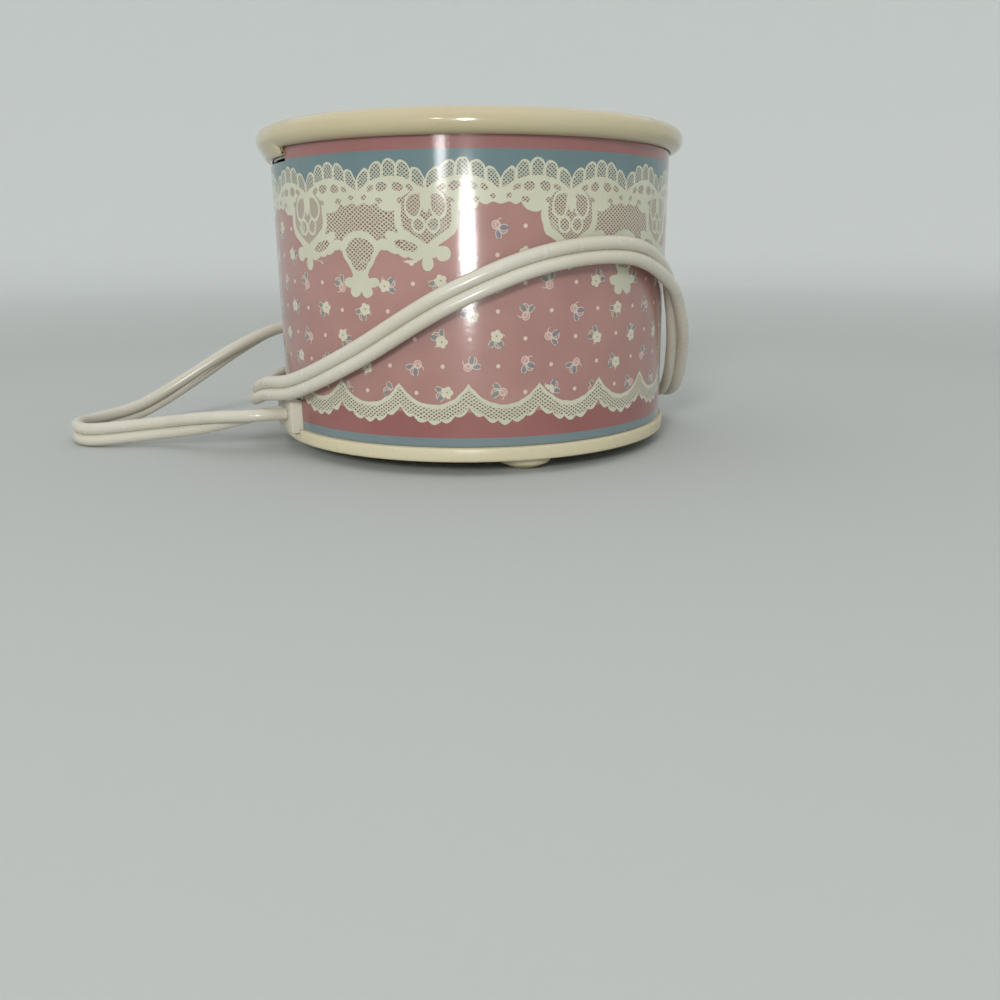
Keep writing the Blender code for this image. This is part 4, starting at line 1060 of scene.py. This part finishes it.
def makeCrock():
    low, high = (corner.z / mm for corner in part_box("stoneware_crock"))
    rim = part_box("stoneware_crock")[1].x / mm
    seat, skirtLow = crock["seat"], crock["seat"] - crock["skirtDrop"]
    inner = crock["radius"] - crock["wall"]
    foot = crock["radius"] - crock["taper"]
    ringInner = foot - crock["outerCorner"] - crock["footRing"]
    recess = crock["footRecess"]
    ledge = high - crock["ledgeDrop"]
    profile = [
        (0, low + recess, 0),
        (ringInner - recess, low + recess, recess / 2),
        (ringInner, low, recess / 4),
        (foot, low, crock["outerCorner"]),
        (crock["radius"], seat, 0.5),
        (crock["skirtInner"], seat, 0.4),
        (crock["skirtInner"], skirtLow, 0.1),
        (rim, skirtLow, crock["roll"]),
        (rim, high, crock["roll"]),
        (rim - crock["roll"] - crock["crownWidth"], high, crock["roll"] / 2),
        (inner + crock["ledge"], ledge, crock["ledge"] / 3),
        (inner, ledge - crock["ledge"] / 6, crock["ledge"] / 2),
        (inner - crock["draft"], low + crock["floor"], crock["innerCorner"]),
        (0, low + crock["floor"], 0),
    ]
    material = glazeFinish((low + 0.5) * mm)
    bowl = newPiece(
        "glazed_crock", spun(profile, crock["steps"]), [material], "crock", 60
    )
    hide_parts("stoneware_crock")
    shoulder = rim - crock["roll"] / 2
    lugLow = skirtLow - crock["lugDrop"]
    start = band["lugAzimuth"] - crock["lugHalfAngle"]
    outline = [
        (crock["lugInner"], lugLow, 0.2),
        (crock["lugOuter"], lugLow, 1.3),
        (rim - crock["roll"] / 6, seat, 0),
        (shoulder, seat + 0.1, 0),
        (shoulder, seat + crock["roll"] / 3, 0),
        (crock["lugInner"], seat + crock["roll"] / 3, 0),
    ]
    lug = spun(outline, 24, 2 * crock["lugHalfAngle"], start)
    ends = [f for f in lug.faces if len(f.verts) > 4]
    bmesh.ops.bevel(
        lug,
        geom=list({e for f in ends for e in f.edges}),
        offset=crock["lugEdge"] * mm,
        segments=4,
        affect="EDGES",
        profile=0.5,
        material=-1,
    )
    newPiece("crock_lug", lug, [material], "crock", 50)


makeCrock()
print("crock made")


# base, feet and outlet block
base = {
    "footSteps": 64,
    "footFlat": 3.0,
    "footBulge": 1.9,
    "footTop": 4.3,
    "stem": 2.8,
    "barb": 0.8,
    "barbLow": 6.7,
}
block = {
    "azimuth": -66.0,
    "half": 8.8,
    "lipHalf": 11.5,
    "outer": 63.6,
    "lipFace": 56.27,
    "inner": 51.57,
    "edge": 0.4,
}


def makeFeet():
    material = plainFinish("foot plastic", finishes["foot_plastic"])
    for number in range(1, 4):
        low, high = (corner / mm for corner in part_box(f"foot_{number}"))
        radius = (high.x - low.x) / 2
        middle = (low + high) / 2
        stem, barb, top = base["stem"], base["barb"], base["footTop"]
        outline = [
            (0, 0, 0),
            (base["footFlat"], 0, 0.8),
            (radius, base["footBulge"], 1.3),
            (radius, top, 0.3),
            (stem, top, 0),
            (stem, base["barbLow"], 0),
            (stem + barb, base["barbLow"], 0.1),
            (stem - barb, high.z, 0.3),
            (0, high.z, 0),
        ]
        bm = spun(outline, base["footSteps"])
        bmesh.ops.translate(bm, verts=bm.verts, vec=(middle.x * mm, middle.y * mm, 0))
        thing = newPiece(f"button_foot_{number}", bm, [material], "housing", 40)
        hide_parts(f"foot_{number}")


def makeBlock():
    low, high = (corner.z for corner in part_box("cord_outlet_block"))
    outline = [
        (-block["half"], -block["outer"]),
        (block["half"], -block["outer"]),
        (block["half"], -block["lipFace"]),
        (block["lipHalf"], -block["lipFace"]),
        (block["lipHalf"], -block["inner"]),
        (-block["lipHalf"], -block["inner"]),
        (-block["lipHalf"], -block["lipFace"]),
        (-block["half"], -block["lipFace"]),
    ]
    bm = bmesh.new()
    face = bm.faces.new([bm.verts.new((x * mm, y * mm, low)) for x, y in outline])
    grown = bmesh.ops.extrude_face_region(bm, geom=[face])["geom"]
    top = [v for v in grown if isinstance(v, bmesh.types.BMVert)]
    bmesh.ops.translate(bm, verts=top, vec=(0, 0, high - low))
    bmesh.ops.recalc_face_normals(bm, faces=bm.faces)
    bmesh.ops.bevel(
        bm,
        geom=list(bm.edges),
        offset=block["edge"] * mm,
        segments=3,
        affect="EDGES",
        profile=0.5,
        material=-1,
    )
    turn = Matrix.Rotation(math.radians(block["azimuth"]), 3, "Z")
    bmesh.ops.rotate(bm, verts=bm.verts, cent=(0, 0, 0), matrix=turn)
    material = plainFinish("outlet plastic", finishes["white_plastic"])
    thing = newPiece("outlet_block", bm, [material], "housing", 40)
    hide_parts("cord_outlet_block")


dressed("base_pan", plainFinish("cream plastic", finishes["cream_plastic"]))
makeFeet()
makeBlock()
print("base, feet and outlet block made")


# everything that keeps its solid takes a finish; round pieces are copied and shaded smooth
smoothed = {
    "heating_well": "well_aluminium",
    "heater_wire": "heater_sleeving",
    "heater_wrap": "foil",
    "insulation_blanket": "glass_wool",
    "heat_shield": "foil",
    "thermal_fuse": "fuse_ceramic",
    "lead_live": "lead_insulation",
    "lead_neutral": "lead_insulation",
    "fuse_lead": "lead_insulation",
    "centre_stud": "plated_steel",
    "shield_spacer": "plated_steel",
    "washer": "plated_steel",
    "crimp_live": "plated_steel",
    "crimp_neutral": "plated_steel",
    "fuse_clip": "plated_steel",
}
asTheyAre = {
    "band_seam_strip": "bare_tinplate",
    "clamp_nut": "plated_steel",
    "plug_blade_1": "blade_brass",
    "plug_blade_2": "blade_brass",
}
made = {}


def finishFor(slot):
    if slot not in made:
        made[slot] = plainFinish(slot.replace("_", " "), finishes[slot])
    return made[slot]


for node, slot in smoothed.items():
    dressed(node, finishFor(slot))
for node, slot in asTheyAre.items():
    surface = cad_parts[node].data.materials
    for index in range(len(surface)):
        surface[index] = finishFor(slot)
print("inner pieces finished")


# stage
stage = {
    "flatRadius": 1.2,
    "bend": 1.0,
    "height": 1.4,
    "floor": (192, 195, 191),
    "wall": (230, 233, 229),
    "paling": (0.35, 1.5),
    "air": (0.95, 0.97, 1.0),
    "airStrength": 0.78,
}
lamps = {
    "front": {
        "azimuth": -2.3, "elevation": -0.1, "away": 0.5, "wide": 0.056, "tall": 0.09,
        "watts": 0.8, "hidden": "visible_diffuse",
    },
    "window": {
        "azimuth": -16.0, "elevation": 6.4, "away": 1.2, "wide": 0.088, "tall": 0.085,
        "watts": 0.6, "hidden": "visible_diffuse",
    },
    "fill": {
        "azimuth": -16.0, "elevation": 20.0, "away": 1.1, "wide": 0.22, "tall": 0.22,
        "watts": 5.0, "hidden": "visible_glossy",
    },
    "above": {
        "azimuth": 20.0, "elevation": 66.0, "away": 1.1, "wide": 0.9, "tall": 0.9,
        "watts": 0.5, "hidden": "visible_glossy",
    },
}
aim = Vector((0, -0.03, 0.06))


def makeLamp(name, lamp):
    light = bpy.data.lights.new(name, "AREA")
    light.shape = "ELLIPSE"
    light.size = lamp["wide"]
    light.size_y = lamp["tall"]
    light.energy = lamp["watts"]
    holder = bpy.data.objects.new(name, light)
    scene.collection.objects.link(holder)
    rise = math.radians(lamp["elevation"])
    reach = lamp["away"] * math.cos(rise)
    holder.location = aim + polar(lamp["azimuth"], reach, lamp["away"] * math.sin(rise))
    holder.rotation_euler = (holder.location - aim).to_track_quat("Z", "Y").to_euler()
    setattr(holder, lamp["hidden"], False)


def makeStage():
    flat, bend, height = (stage[key] / mm for key in ("flatRadius", "bend", "height"))
    bm = spun([(0, 0, 0), (flat + bend, 0, bend), (flat + bend, height, 0)], 128, closed=False)
    mesh = bpy.data.meshes.new("backdrop")
    bm.to_mesh(mesh)
    bm.free()
    mesh.shade_smooth()
    sweep = bpy.data.objects.new("backdrop", mesh)
    scene.collection.objects.link(sweep)
    graph = Graph("backdrop paper", {"Roughness": 0.8, "Specular IOR Level": 0.0})
    far = graph.spread(graph.length(graph.objectPlace()), *stage["paling"], 0, 1)
    graph.colour(graph.mix(far, tint(*stage["floor"]), tint(*stage["wall"])))
    mesh.materials.append(graph.material)
    sky = bpy.data.worlds.new("air")
    sky.use_nodes = True
    air = sky.node_tree.nodes["Background"]
    air.inputs["Color"].default_value = (*stage["air"], 1)
    air.inputs["Strength"].default_value = stage["airStrength"]
    scene.world = sky
    for name, lamp in lamps.items():
        makeLamp(name, lamp)


makeStage()
print("stage and lamps set")
